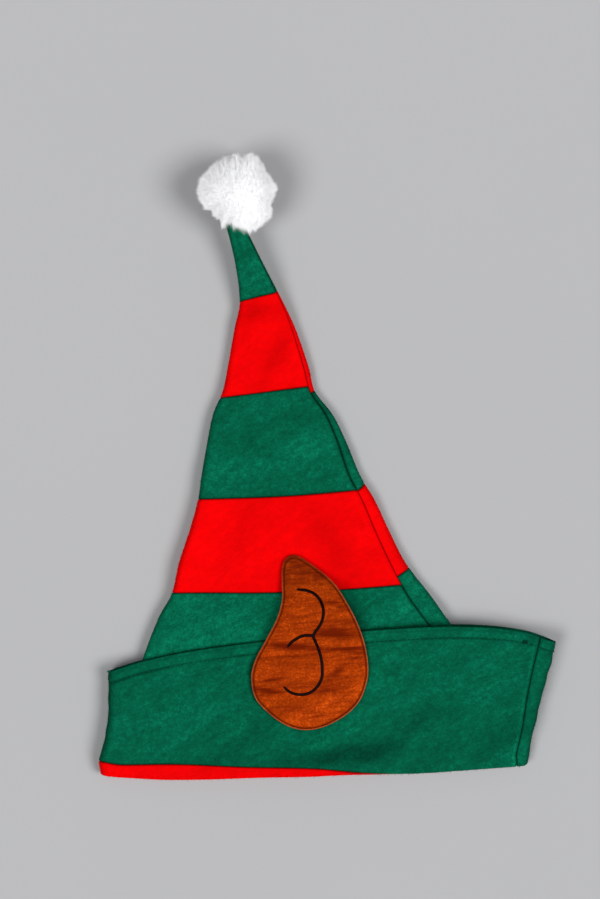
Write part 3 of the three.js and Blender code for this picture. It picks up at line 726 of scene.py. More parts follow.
def evenly(line, spacing):
    """The same line with its points a spacing apart."""
    lengths = np.concatenate([[0], np.cumsum(np.linalg.norm(np.diff(line, axis=0), axis=1))])
    count = max(2, int(round(lengths[-1] / spacing)) + 1)
    at = np.linspace(0, lengths[-1], count)
    return np.stack([np.interp(at, lengths, line[:, i]) for i in range(line.shape[1])], -1)


def unit(vectors):
    return vectors / np.maximum(np.linalg.norm(vectors, axis=-1, keepdims=True), 1e-12)


def stacked_rings(rings):
    """Closed skins from rings of points, (skins, rings, sides, 3), with a cap at both ends."""
    skins, count, sides = rings.shape[:3]
    ids = np.arange(skins * count * sides).reshape(skins, count, sides)
    low, high = ids[:, :-1], ids[:, 1:]
    quads = np.stack([low, np.roll(low, -1, 2), np.roll(high, -1, 2), high], -1).reshape(-1, 4)
    caps = []
    for ring, turn in ((ids[:, 0], -1), (ids[:, -1], 1)):
        for k in range(sides // 2 - 1):
            caps.append(ring[:, [k, k + 1, sides - 2 - k, sides - 1 - k]][:, ::turn])
    return rings.reshape(-1, 3), np.concatenate([quads, *caps])


def thread_stitches(line, normals, length, gap, thickness, sink=0.1):
    """A row of thread stitches along a line, each of which dives into the felt at its ends."""
    pitch = length + gap
    path = evenly(np.concatenate([line, normals], 1), pitch / 8)
    centres = np.arange(4, len(path) - 4, 8)
    step = max(1, int(round(4 * length / pitch)))
    tangent = unit(path[centres + step, :3] - path[centres - step, :3])
    normal = unit(path[centres, 3:])
    side = unit(np.cross(tangent, normal))
    along = np.linspace(-1, 1, 7)
    turn = np.arange(6) * math.pi / 3
    rise = thickness / 2 - sink - 0.9 * thickness * np.abs(along) ** 3
    middle = (
        path[centres, None, :3]
        + tangent[:, None] * (along * length / 2)[None, :, None]
        + normal[:, None] * rise[None, :, None]
    )
    radius = thickness / 2 * (1 - 0.35 * np.abs(along) ** 3)
    ring = (
        side[:, None, None] * np.cos(turn)[None, None, :, None]
        + normal[:, None, None] * np.sin(turn)[None, None, :, None]
    )
    rings = middle[:, :, None] + ring * radius[None, :, None, None]
    return stacked_rings(rings)


def joined(parts):
    """Several skins as one."""
    points, faces, start = [], [], 0
    for some_points, some_faces in parts:
        points.append(some_points)
        faces.append(some_faces + start)
        start += len(some_points)
    return np.concatenate(points), np.concatenate(faces)


def fibres(roots, middles, tips, width, rng):
    """Fine tapered fibres, each a closed three-sided skin from its root over its middle to its
    point."""
    axis = unit(tips - roots)
    side = unit(np.cross(axis, unit(rng.normal(size=axis.shape))))
    other = np.cross(axis, side)
    turn = np.arange(3) * math.pi / 1.5
    ring = side[:, None] * np.cos(turn)[None, :, None] + other[:, None] * np.sin(turn)[None, :, None]
    width = np.broadcast_to(width, len(roots))[:, None, None]
    points = np.concatenate(
        [roots[:, None] + ring * width * 0.5, middles[:, None] + ring * width * 0.45, tips[:, None]], 1
    )
    one = np.array([(2, 1, 0), (0, 1, 4), (0, 4, 3), (1, 2, 5), (1, 5, 4), (2, 0, 3), (2, 3, 5),
                    (3, 4, 6), (4, 5, 6), (5, 3, 6)])
    faces = one[None] + 7 * np.arange(len(roots))[:, None, None]
    return points.reshape(-1, 3), faces.reshape(-1, 3)


# Materials


def node(tree, kind, inputs=None, **settings):
    made = tree.nodes.new(kind)
    for key, value in settings.items():
        setattr(made, key, value)
    for key, value in (inputs or {}).items():
        socket = made.inputs[key]
        if isinstance(value, bpy.types.NodeSocket):
            tree.links.new(value, socket)
        else:
            socket.default_value = value
    return made


def calculate(tree, operation, first, second=None, third=None):
    inputs = {i: v for i, v in enumerate((first, second, third)) if v is not None}
    return node(tree, "ShaderNodeMath", inputs, operation=operation).outputs[0]


def weighted(tree, *parts, base=0.0):
    """The sum of some values, each times its weight, and a base."""
    total = base
    for value, weight in parts:
        total = calculate(tree, "MULTIPLY_ADD", value, weight, total)
    return total


def new_group(name, inputs, outputs):
    """An empty node group with named sockets."""
    group = bpy.data.node_groups.new(name, "ShaderNodeTree")
    for kind, sockets in (("INPUT", inputs), ("OUTPUT", outputs)):
        for label, socket_type, value in sockets:
            socket = group.interface.new_socket(label, in_out=kind, socket_type=socket_type)
            if value is not None:
                socket.default_value = value
    given = group.nodes.new("NodeGroupInput").outputs
    return group, given, group.nodes.new("NodeGroupOutput").inputs


def stretched_noise(tree, scale, turn, detail=2.0, distortion=0.0):
    """Noise with its own scale along each of three directions, turned from X."""
    place = node(tree, "ShaderNodeTexCoord").outputs["Object"]
    sizes = tuple(1 / value for value in scale)
    mapped = node(
        tree, "ShaderNodeMapping",
        {"Vector": place, "Rotation": (0, 0, math.radians(turn)), "Scale": sizes},
        vector_type="TEXTURE",
    ).outputs["Vector"]
    settings = {"Vector": mapped, "Scale": 1.0, "Detail": detail, "Distortion": distortion}
    return node(tree, "ShaderNodeTexNoise", settings).outputs["Fac"]


def felt_group():
    """Matted fibres: colour that varies in clouds, patches and fibres, and the nap's height."""
    if "Matted felt" in bpy.data.node_groups:
        return bpy.data.node_groups["Matted felt"]
    scalar, colour = "NodeSocketFloat", "NodeSocketColor"
    tree, given, put = new_group(
        "Matted felt",
        [
            ("Colour", colour, (0.5, 0.5, 0.5, 1)),
            ("Light Colour", colour, (0.6, 0.6, 0.6, 1)),
            ("Clouds", scalar, 0.3),
            ("Fibres", scalar, 0.3),
            ("Seam", scalar, 0.0),
            ("Seam Shade", scalar, 0.5),
        ],
        [("Colour", colour, None), ("Roughness", scalar, None), ("Height", scalar, None)],
    )
    # Broad diagonal bands of tone, partly the felt's own and partly painted shade of shallow folds
    bands = stretched_noise(tree, (18, 62, 40), 33, 1.0, 0.3)
    clouds = stretched_noise(tree, (70, 130, 100), 30, 1.5, 0.3)
    patches = stretched_noise(tree, (230, 330, 300), 24, 1.0, 0.2)
    nap = stretched_noise(tree, (640, 760, 700), -10, 2.0)
    grain = stretched_noise(tree, (1500, 1500, 1500), 0, 1.0)
    one_way = stretched_noise(tree, (260, 1500, 900), 28, 1.0, 1.2)
    other_way = stretched_noise(tree, (1500, 280, 900), 12, 1.0, 1.2)
    strands = calculate(tree, "MAXIMUM", one_way, other_way)
    broad = weighted(tree, (bands, 0.32), (clouds, 0.28), (patches, 0.4))
    fine = weighted(tree, (strands, 0.4), (nap, 0.5), (grain, 0.1))
    broad = calculate(tree, "MULTIPLY", calculate(tree, "SUBTRACT", broad, 0.5), given["Clouds"])
    fine = calculate(tree, "MULTIPLY", calculate(tree, "SUBTRACT", fine, 0.54), given["Fibres"])
    level = calculate(tree, "POWER", 2.0, calculate(tree, "ADD", broad, fine))
    # The colour is darkened by the mesh's seam attribute: painted shade in folds, beside the ear and
    # where the sides turn down, and at seams partly painted shade
    seam = calculate(tree, "MULTIPLY", given["Seam"], given["Seam Shade"])
    level = calculate(tree, "MULTIPLY", level, calculate(tree, "SUBTRACT", 1.0, seam))
    lighter = calculate(tree, "MULTIPLY", calculate(tree, "SUBTRACT", level, 1.0), 0.9)
    lighter = node(tree, "ShaderNodeClamp", {"Value": lighter}).outputs[0]
    tinted = mixed(tree, lighter, given["Colour"], given["Light Colour"])
    tree.links.new(scaled(tree, tinted, level), put["Colour"])
    tree.links.new(weighted(tree, (patches, 0.12), base=0.84), put["Roughness"])
    height = weighted(tree, (strands, 0.5), (grain, 0.3), (nap, 0.5), (patches, 0.6))
    tree.links.new(height, put["Height"])
    return tree


FELT_SHEEN = 0.1
# How strongly that painted shade darkens the felt
SEAM_SHADE = 0.72
FELT_BUMP = (0.6, 0.0006)  # its strength and its distance


def shader(name, sheen=0.0, sheen_tint=(1, 1, 1, 1), specular=0.015):
    """A new material with its Principled shader, and its node tree."""
    material = bpy.data.materials.new(name)
    material.use_nodes = True
    tree = material.node_tree
    principled = tree.nodes["Principled BSDF"]
    principled.inputs["Specular IOR Level"].default_value = specular
    principled.inputs["Sheen Weight"].default_value = sheen
    principled.inputs["Sheen Roughness"].default_value = 0.5
    principled.inputs["Sheen Tint"].default_value = sheen_tint
    return material, tree, principled


def attribute(tree, name):
    return node(tree, "ShaderNodeAttribute", attribute_name=name).outputs["Fac"]


def mixed(tree, factor, first, second):
    inputs = {"Factor": factor, 6: first, 7: second}
    return node(tree, "ShaderNodeMix", inputs, data_type="RGBA").outputs[2]


def scaled(tree, colour, level):
    inputs = {0: colour, "Scale": level}
    return node(tree, "ShaderNodeVectorMath", inputs, operation="SCALE").outputs[0]


def dress(tree, principled, colour, rough, height, strength, distance):
    """Wires the shader's colour, its roughness and its bump."""
    inputs = {"Strength": strength, "Distance": distance, "Height": height}
    bump = node(tree, "ShaderNodeBump", inputs).outputs["Normal"]
    for name, socket in (("Base Color", colour), ("Roughness", rough), ("Normal", bump)):
        tree.links.new(socket, principled.inputs[name])


def felt_node(tree, colour, light, clouds, fibres, seam_shade):
    """The outputs of the matted felt, with the painted shade that the mesh's seam attribute gives."""
    values = {"Colour": colour, "Light Colour": light, "Clouds": clouds, "Fibres": fibres,
              "Seam": attribute(tree, "seam"), "Seam Shade": seam_shade}
    return node(tree, "ShaderNodeGroup", values, node_tree=felt_group()).outputs


def felt_material(name, colour, light, clouds=2.6, grain=2.3, seam_shade=SEAM_SHADE):
    material, tree, principled = shader(name, FELT_SHEEN, light)
    felt = felt_node(tree, colour, light, clouds, grain, seam_shade)
    dress(tree, principled, felt["Colour"], felt["Roughness"], felt["Height"], *FELT_BUMP)
    return material


def ear_material(name, colour, light, dark, highlight_colour):
    """Brushed felt whose nap lies in streaks across the ear, with painted shade in its creases,
    its stitch groove and at its tip, and a painted highlight along its edge."""
    material, tree, principled = shader(name, FELT_SHEEN, light)
    felt = felt_node(tree, colour, light, 2.0, 3.4, SEAM_SHADE)
    streaks = stretched_noise(tree, (70, 620, 300), 4, 4.0, 0.6)
    bands = stretched_noise(tree, (22, 120, 60), 6, 3.0, 0.8)
    shade = attribute(tree, "shade")
    level = weighted(tree, (streaks, -1.4), (bands, -1.9), (shade, 1.0), base=1.77)
    level = node(tree, "ShaderNodeClamp", {"Value": level}).outputs[0]
    streaked = mixed(tree, level, felt["Colour"], dark)
    # Painted highlight along the ear's edge
    edged = mixed(tree, attribute(tree, "painted_rim"), streaked, highlight_colour)
    height = weighted(tree, (streaks, 1.2), (felt["Height"], 1.0))
    dress(tree, principled, edged, felt["Roughness"], height, *FELT_BUMP)
    return material


def thread_material(name, colour, gloss=0.45):
    """Twisted sewing thread."""
    material, tree, principled = shader(name, specular=0.03)
    twist = stretched_noise(tree, (2600, 2600, 2600), 30, 1.0)
    shown = scaled(tree, colour[:3], weighted(tree, (twist, 0.5), base=0.75))
    dress(tree, principled, shown, weighted(tree, (twist, 0.2), base=gloss), twist, 0.4, 0.0002)
    return material


def pile_material(name, colour):
    """Soft white pile, greyer where the mesh's shade attribute gives painted shade."""
    material, tree, principled = shader(name, 0.3, specular=0.05)
    tufts = stretched_noise(tree, (260, 260, 260), 15, 3.0, 0.5)
    level = weighted(tree, (tufts, 0.08), (attribute(tree, "shade"), -0.03), base=0.95)
    shown = scaled(tree, colour[:3], level)
    dress(tree, principled, shown, weighted(tree, (tufts, 0.1), base=0.85), tufts, 0.2, 0.001)
    return material


def floor_material(name, colour):
    """Smooth paper with very slight clouds."""
    material, tree, principled = shader(name, specular=0.1)
    clouds = stretched_noise(tree, (3, 3, 3), 0, 2.0)
    shown = scaled(tree, colour[:3], weighted(tree, (clouds, 0.03), base=0.985))
    grain = stretched_noise(tree, (900, 900, 900), 0, 2.0)
    dress(tree, principled, shown, weighted(tree, (grain, 0.1), base=0.8), grain, 0.05, 0.0003)
    return material


def material_once(name, make, *values, **settings):
    return bpy.data.materials.get(name) or make(name, *values, **settings)


def green_felt():
    hat = bpy.context.scene.elf_hat
    return material_once("Green felt", felt_material, tuple(hat.green), tuple(hat.green_light))


def red_felt():
    hat = bpy.context.scene.elf_hat
    return material_once(
        "Red felt", felt_material, tuple(hat.red), tuple(hat.red_light),
        clouds=0.9, grain=0.3, seam_shade=0.5,
    )


# Properties and operators


def colour_property(name, description, default):
    return bpy.props.FloatVectorProperty(
        name=name, description=description, subtype="COLOR", size=4, min=0, max=1,
        default=(*default, 1.0),
    )


def length_property(name, description, default, low, high):
    return bpy.props.FloatProperty(
        name=name, description=description, default=default, min=low, max=high,
        subtype="DISTANCE", unit="LENGTH",
    )


class ElfHatSettings(bpy.types.PropertyGroup):
    green: colour_property(
        "Green felt", "Colour of the green stripes and the cuff", (0.0006, 0.07, 0.0345))
    green_light: colour_property(
        "Light green", "Colour of the green felt's lighter fibres", (0.0014, 0.094, 0.049))
    red: colour_property("Red felt", "Colour of the red stripes", (0.553, 0.0003, 0.0008))
    red_light: colour_property(
        "Light red", "Colour of the red felt's lighter fibres", (0.59, 0.0008, 0.0019))
    brown: colour_property("Brown felt", "Colour of the ears", (0.262, 0.0275, 0.001))
    brown_light: colour_property(
        "Light brown", "Colour of the ears' lighter fibres", (0.36, 0.058, 0.004))
    # The ears' darker streaks, also the colour of their painted shade in creases and at the tips
    brown_streak_and_shade: colour_property(
        "Dark brown", "Colour of the ears' darker streaks", (0.095, 0.0066, 0.0005))
    # Colour of the painted highlight along the ears' edges
    brown_edge_highlight: colour_property(
        "Brown edge", "Colour of the ears' cut edge", (0.3, 0.095, 0.038))
    line: colour_property(
        "Embroidery", "Colour of the lines on the ears", (0.0045, 0.0006, 0.0006))
    pile: colour_property("White pile", "Colour of the pompom", (0.93, 0.935, 0.945))
    floor: colour_property("Floor", "Colour of the floor", (0.2955, 0.297, 0.303))
    spacing: bpy.props.FloatProperty(
        name="Mesh spacing", description="Distance between a front panel's points, in millimetres",
        default=1.7, min=0.8, max=6,
    )
    back_spacing: bpy.props.FloatProperty(
        name="Back spacing", description="The same on the panels beneath, in millimetres",
        default=3.2, min=0.8, max=8,
    )
    pile_fibres: bpy.props.IntProperty(
        name="Pompom fibres", description="Number of fibres in each of the pompom's two layers",
        default=17000, min=500, max=19000,
    )
    pile_length: length_property("Pile length", "Length of the pompom's fibres", 0.006, 0.002, 0.02)
    camera_height: length_property(
        "Camera height", "Height of the camera above the floor", 1.5, 0.5, 5)
    light: bpy.props.FloatProperty(
        name="Light", description="Strength of the two soft lights", default=2.23, min=0, max=20,
    )


def panel_spacing(panel, settings):
    return settings.spacing if panel == "front" else settings.back_spacing


def panel_grid(panel, low, high, spacing, widest):
    """Stations and places along the cone for a stripe's grid, with the distances to its edges.
    low and high give the seams' places at stations."""
    column_share, column_offset = stops(int(widest / spacing))
    middle = np.array([1.5 if panel == "front" else 3.5])
    tall = np.mean(high(middle) - low(middle))
    row_share, row_offset = (v[:, None] for v in stops(int(tall / spacing)))
    y = np.zeros((len(row_share), len(column_share))) + low(np.array([1.0])) + row_share * tall
    for _ in range(5):
        section = cone_section(y)
        first, last = section.panel(panel)
        girth = first + column_share * (last - first) + column_offset
        station = section.station(girth)
        bottom, top = low(station), high(station)
        y = bottom + row_share * (top - bottom) + row_offset
    return station, y, girth - first, last - girth, np.minimum(y - bottom, top - y)


def seam_ridge(panel, section, station, distance):
    """The felt beside the right side seam: proud on the front panel, sunk on the back one."""
    on_top = np.where((station > 1.2) & (station < 3), 1.0, 0.0) * section.above(station)
    if panel == "front":
        return on_top * 0.5 * bell(distance - 2.4, 1.5)
    return -on_top * 0.35 * bell(distance - 1.0, 1.0)


def flat_size(panel, low, high):
    """A stripe's cut: its width, its length and its flat area, in metres."""
    widths = []
    for y in (low, high):
        first, last = cone_section(CONE_LENGTH * y).panel(panel)
        widths.append(float(last - first))
    length = CONE_LENGTH * (high - low)
    return (max(widths) * MM, length * MM), (widths[0] + widths[1]) / 2 * length * MM * MM


def build_stripe(panel, index, settings):
    """One stripe of one panel, above the mouth."""
    spacing = panel_spacing(panel, settings)
    half = SEAM_CLEARANCE / 2

    def low(station):
        return stripe_seam(index - 1, station, panel) + half

    def high(station):
        if index == len(STRIPE_NAMES) - 1:
            return CONE_LENGTH + 0 * station
        return stripe_seam(index, station, panel) - half

    below = STRIPE_SEAMS["left"][index - 1]
    above = STRIPE_SEAMS["left"][index] if index < len(STRIPE_NAMES) - 1 else 1.0
    (width, length), area = flat_size(panel, below, above)
    station, y, from_first, from_last, dv = panel_grid(panel, low, high, spacing, width / MM)
    section = cone_section(y)
    side_seam = from_last if panel == "front" else from_first
    ridge = seam_ridge(panel, section, station, side_seam)

    def place(raised):
        points = cone_point(station, y, raised)
        points[..., 2] += ridge
        return points

    name = f"{panel}_stripe_{STRIPE_NAMES[index]}"
    red = STRIPE_NAMES[index].startswith("red")
    piece = felt_piece(
        f"felt_{name}", place, np.minimum(from_first, from_last), dv,
        red_felt() if red else green_felt(), "red_felt" if red else "green_felt", name,
        line=fold_shade(section.above(station)), side=(0.6, 0.7) if red else (1.0, 1.25),
        lighter=STRIPE_PAINTED_LIGHT.get(STRIPE_NAMES[index], 0.0),
    )


TURN_ROW = TURN_LENGTH / 16


def travel_rows(travel, flat_row):
    turned = np.clip(travel, 0, TURN_LENGTH)
    return turned / TURN_ROW + (travel - turned) / flat_row


def travel_at(rows, flat_row):
    turned = np.clip(rows, 0, TURN_LENGTH / TURN_ROW)
    return turned * TURN_ROW + (rows - turned) * flat_row


def travel_grid(first, last, spacing):
    """Travels from first to last, closer together at the turn and at both edges."""
    near, far = first + EDGE_STEPS[-1], last - EDGE_STEPS[-1]
    low, high = travel_rows(near, spacing), travel_rows(far, spacing)
    share = np.linspace(0, 1, int(np.max(high - low)) + 1)[1:-1, None]
    middle = travel_at(low + share * (high - low), spacing)
    return np.concatenate([first + EDGE_STEPS[:, None], middle, last - EDGE_STEPS[::-1, None]])


def build_mouth_stripe(panel, settings):
    """The mouth's red stripe, down the cone and round the turn to its seam with the cuff."""
    spacing = panel_spacing(panel, settings)
    half = SEAM_CLEARANCE / 2
    first, last = MOUTH.panel(panel)
    column_share, column_offset = stops(int((last - first) / spacing))
    at_mouth = MOUTH.station(first + column_share * (last - first) + column_offset)
    start = cuff_line(MOUTH.point(at_mouth, 0)[0])
    end = cuff_seam_travel(at_mouth) - half
    top = start - stripe_seam(0, at_mouth, panel) + half
    travel = travel_grid(top, end, spacing)
    station = at_mouth + 0 * travel
    for _ in range(4):
        y = start - np.minimum(travel, 0)
        section = mouth_section(y, np.minimum(travel, 0))
        first, last = section.panel(panel)
        girth = first + column_share * (last - first) + column_offset
        station = section.station(girth)
        start = cuff_line(MOUTH.point(station, 0)[0])
        top = start - stripe_seam(0, station, panel) + half
        end = cuff_seam_travel(station) - half
        travel = np.where(travel < 0, top + travel - travel[0], travel)
    dv = np.minimum(travel - top, end - travel)

    def place(raised):
        return mouth_point(station, travel, raised)

    name = f"{panel}_stripe_{STRIPE_NAMES[0]}"
    (width, length), _ = flat_size(panel, 0.0, STRIPE_SEAMS["left"][0])
    length += (TURN_LENGTH / 2 + 4) * MM
    piece = felt_piece(
        f"felt_{name}", place, np.minimum(girth - first, last - girth), np.maximum(dv, 0),
        red_felt(), "red_felt", name, line=fold_shade(MOUTH.above(station)), side=(0.6, 0.7),
    )


def build_cuff_half(panel, settings):
    """One half of the cuff, from its seam with the red stripe to its hemmed top edge."""
    spacing = panel_spacing(panel, settings)
    first, last = MOUTH.panel(panel)
    column_share, column_offset = stops(int((last - first) / spacing))
    girth = first + column_share * (last - first) + column_offset
    station = MOUTH.station(girth)
    begin = cuff_seam_travel(station) + SEAM_CLEARANCE / 2
    end = TURN_LENGTH + cuff_height(station)
    hem_zone = STITCH_LINE + 2.4
    hem_rows = np.linspace(hem_zone, EDGE_STEPS[-1], int(hem_zone / 0.42))[:, None]
    below_hem = travel_grid(begin, end - hem_zone, spacing)[: -len(EDGE_STEPS)]
    travel = np.concatenate([below_hem, end - hem_rows, (end - EDGE_STEPS[::-1, None])[1:]])
    from_top = end - travel
    share = np.clip((travel - TURN_LENGTH) / (end - TURN_LENGTH), 0, 1)
    seam_x = MOUTH_WIDTH * curve(CUFF_SEAM, "across", share)
    seam_station = 1 + wall_share(cuff_section(share), seam_x)
    drift = MOUTH.wall * (MOUTH.station(MOUTH.seams()[1]) - seam_station)
    du = np.minimum(girth - first, last - girth) + 0 * travel
    pulled = column_share if panel == "front" else 1 - column_share
    station = MOUTH.station(girth - drift * pulled * smoothstep(share, 0, 0.08))
    dv = np.minimum(travel - begin, from_top / 1.3)
    across = MOUTH.point(station, 0)[0]
    # Painted shade: the stitch groove of the hem, a faint line under the rounded top edge and the
    # turned-down ends are darkened
    fading = 0.42 + 0.12 * np.sin(across * 0.09) + 0.08 * np.sin(across * 0.31 + 1)
    line = fading * bell(from_top - STITCH_LINE, 1.0)
    painted_rim = 0.26 * bell(from_top - 2.3, 0.55)
    line = np.maximum(np.maximum(line, painted_rim), fold_shade(MOUTH.above(station), 0.0, 0.3))
    # Painted highlight on the front half beside its side seam
    lighter = 0.0
    if panel == "front":
        lighter = 0.6 * bell(last - girth - 2.1, 0.7) + 0 * travel

    def place(raised):
        return mouth_point(station, travel, raised)

    name = f"cuff_{panel}"
    stitches = build_hem_stitches(panel, station[-1])
    piece = felt_piece(
        f"felt_{name}", place, du, dv, green_felt(), "green_felt", name, line, (0.6, 0.75),
        travel - begin, lighter,
    )


def build_hem_stitches(panel, stations):
    """The row of stitches along the cuff's hem."""
    share = 1 - STITCH_LINE / cuff_height(stations)
    line = cuff_point(stations, share, 1.0)
    beside = cuff_point(stations, share - 0.01, 1.0)
    normals = unit(np.cross(unit(np.gradient(line, axis=0)), unit(line - beside)))
    parts = [thread_stitches(line, normals, 2.5, 0.7, 0.4, sink=0.0)]
    if panel == "front":
        near = np.abs(line[:, 0] - KNOT_PLACE) < KNOT_REACH
        for rise in (-0.5, 0.1, 0.7, 1.3, 1.9):
            knot = cuff_point(stations[near], share[near] + rise / CUFF_HEIGHT, 1.0)
            knot = evenly(knot + (0, 0, 0.3), 0.3)
            parts.append(thread_stitches(knot, 0 * knot + (0, 0, 1), 2.2, -0.6, 0.5))
    points, faces = joined(parts)
    thread = material_once("Green thread", thread_material, (0.0005, 0.03, 0.016))
    return new_piece(f"hem_stitches_{panel}", points, faces, thread, "green_felt")


def ear_outline(spacing=0.8):
    """The ear's outline, from its tip down its right side and up its left side."""
    angle = np.linspace(0, math.pi, 400)
    y = EAR_CENTRE[1] + EAR_LENGTH / 2 * np.cos(angle)
    right = EAR_CENTRE[0] + EAR_WIDTH * curve(EAR_OUTLINE, "right", -angle, "from_tip")
    left = EAR_CENTRE[0] + EAR_WIDTH * curve(EAR_OUTLINE, "left", -angle, "from_tip")
    line = np.concatenate([np.stack([right, y], -1), np.stack([left, y], -1)[::-1]])
    return evenly(line, spacing)


def distance_to(line, x, y):
    found = np.full(x.shape, np.inf)
    for some in np.array_split(line, 40):
        away = np.hypot(x[..., None] - some[:, 0], y[..., None] - some[:, 1]).min(-1)
        found = np.minimum(found, away)
    return found


EAR_STITCH_LINE = 1.5
EAR_EDGE = 0.8


def ear_profile(distance, thickness):
    """The ear's height above its underside at a distance from its outline."""
    crown = (thickness - 1.6) * (1 - (1 - np.clip(distance / 24, 0, 1)) ** 2) ** 0.85
    groove = 1 - 0.75 * bell(distance - EAR_STITCH_LINE, 0.5)
    roll = 0.35 * bell(distance - 0.7, 0.5)
    return fullness(distance, 0.7) * ((0.8 + crown) * groove + roll)


def ear_height(x, y, distance, upper):
    """The heights of an ear's underside and outside at places in its plane."""
    thickness = EAR_PADDING if upper else UNDER_EAR_THICKNESS - 0.5
    base = felt_top(x, y) + EAR_GAP if upper else 0 * x
    dx, dy = x - EAR_CENTRE[0], y - EAR_CENTRE[1] + EAR_LENGTH / 2
    if upper:
        at_rim = 1 - smoothstep(distance, 0, 13)
        right_edge = 1.9 * bell(dy / EAR_LENGTH - 0.66, 0.12) * smoothstep(dx, 0, 15)
        left_edge = 1.1 * bell(dy / EAR_LENGTH - 0.34, 0.13) * smoothstep(-dx, 5, 25)
        base = base + at_rim * (right_edge + left_edge)
    inside = smoothstep(distance, 1.0, 5.0)
    wrinkles = creases(EAR_CREASES, dx, dy, EAR_WIDTH, EAR_LENGTH, 1.0)
    wrinkles = wrinkles + waves(x * 0.35, y, 7, 0.07, 11) + waves(x, y, 16, 0.1, 12)
    profile = ear_profile(distance, thickness)
    return base, base + EAR_EDGE + profile + (inside * wrinkles if upper else 0)


def build_ear(name, upper, settings):
    columns, rows = (150, 200) if upper else (70, 100)
    across = np.linspace(0, math.pi, columns)[None, :]
    down = np.linspace(0, math.pi, rows)[:, None]
    left, right = (curve(EAR_OUTLINE, side, -down, "from_tip") for side in ("left", "right"))
    x = EAR_CENTRE[0] + EAR_WIDTH * lerp(left, right, (1 - np.cos(across)) / 2)
    y = EAR_CENTRE[1] + EAR_LENGTH / 2 * np.cos(down) + 0 * x
    outline = ear_outline()
    distance = distance_to(outline, x, y)
    distance[[0, -1], :] = 0
    distance[:, [0, -1]] = 0
    base, top = ear_height(x, y, distance, upper)
    bottom = base + EAR_EDGE * (1 - fullness(distance, 1.2))
    points, faces, source = slab(np.stack([x, y, top], -1), np.stack([x, y, bottom], -1))
    dx, dy = x - EAR_CENTRE[0], y - EAR_CENTRE[1] + EAR_LENGTH / 2
    # Painted shade in the stitch groove, in the creases and at the tip, and a painted highlight along
    # the edge that fades towards the tip
    dents = -creases(EAR_CREASES, dx, dy, EAR_WIDTH, EAR_LENGTH, 1.0)
    along = dy / EAR_LENGTH
    ragged = along + 0.008 * np.sin(x * 0.55) + 0.006 * np.sin(x * 1.3)
    edge_highlight = 0.85 * (1 - 0.8 * smoothstep(along, 0.8, 0.95))
    values = {
        "seam": 0.8 * bell(distance - EAR_STITCH_LINE, 0.45),
        "shade": 0.6 * smoothstep(ragged, 0.8, 0.92) + 0.95 * dents,
        "painted_rim": edge_highlight * (1 - smoothstep(distance, 0.25, 0.7)),
    }
    values = {key: value.ravel()[source] for key, value in values.items()}
    brown = material_once(
        "Brown felt", ear_material, tuple(settings.brown), tuple(settings.brown_light),
        tuple(settings.brown_streak_and_shade), tuple(settings.brown_edge_highlight),
    )
    faces = outward(points, faces)
    piece = new_piece(f"felt_{name}", points, faces, brown, "brown_felt", [name], values)
    weld(piece)
    return outline


def weld(piece, distance=0.00001):
    """Joins the points that fall together at the ends of a grid."""
    mesh = bmesh.new()
    mesh.from_mesh(piece.data)
    bmesh.ops.remove_doubles(mesh, verts=mesh.verts, dist=distance)
    bmesh.ops.dissolve_degenerate(mesh, edges=mesh.edges, dist=distance / 2)
    mesh.to_mesh(piece.data)
    mesh.free()
    piece.data.update()


def ear_surface(points, outline):
    """Points of the upper ear's outside at places in its plane, with their normals."""
    x, y = points[:, 0], points[:, 1]

    def height(x, y):
        return ear_height(x, y, distance_to(outline, x, y), True)[1]

    z, step = height(x, y), 0.4
    slope_x = (height(x + step, y) - height(x - step, y)) / (2 * step)
    slope_y = (height(x, y + step) - height(x, y - step)) / (2 * step)
    return np.stack([x, y, z], -1), unit(np.stack([-slope_x, -slope_y, np.ones_like(x)], -1))


def satin_line(points, normals, width, height, pitch):
    """An embroidered line of threads laid side by side across it, tapered at its free end."""
    tangent = unit(np.gradient(points, axis=0))
    side = unit(np.cross(tangent, normals))
    count = len(points)
    at = np.arange(count)
    step = np.linalg.norm(points[1] - points[0])
    taper = 0.35 + 0.65 * fullness(at * step, 5.0)
    taper = taper * (0.6 + 0.4 * fullness((count - 1 - at) * step, 1.0))
    ridges = 0.86 + 0.14 * np.abs(np.sin(math.pi * at * step / pitch))
    turn = np.arange(10) * math.pi / 5
    across = width / 2 * taper[:, None] * np.cos(turn)
    up = (height * taper * ridges)[:, None] * np.sin(turn)
    rings = (
        points[:, None]
        + side[:, None] * across[..., None]
        + normals[:, None] * (up + 0.05)[..., None]
    )
    return stacked_rings(rings[None])


def build_ear_details(name, outline, settings):
    """The stitches round the upper ear and its embroidered lines."""
    middle = np.array(EAR_CENTRE)
    closed = np.concatenate([outline, outline[:2]])
    tangent = unit(np.gradient(closed, axis=0))
    inwards = np.stack([tangent[:, 1], -tangent[:, 0]], -1)
    inwards *= np.sign((inwards * (middle - closed)).sum(-1).mean())
    line = evenly(closed + inwards * EAR_STITCH_LINE, 0.8)
    brown = material_once("Brown thread", thread_material, (0.12, 0.007, 0.001))
    stitches = thread_stitches(*ear_surface(line, outline), 2.0, 0.6, 0.34, sink=0.0)
    new_piece(f"{name}_stitches", *stitches, brown, "brown_felt")
    black = material_once("Black thread", thread_material, tuple(settings.line), gloss=0.35)
    parts = []
    for shares in EAR_LINES:
        path = (np.array(shares) - (0, 0.5)) * (EAR_WIDTH, EAR_LENGTH) + middle
        surface = ear_surface(smooth_path(path, 0.13), outline)
        parts.append(satin_line(*surface, 2.1, 0.5, 0.42))
    new_piece(f"{name}_lines", *joined(parts), black, "brown_felt")


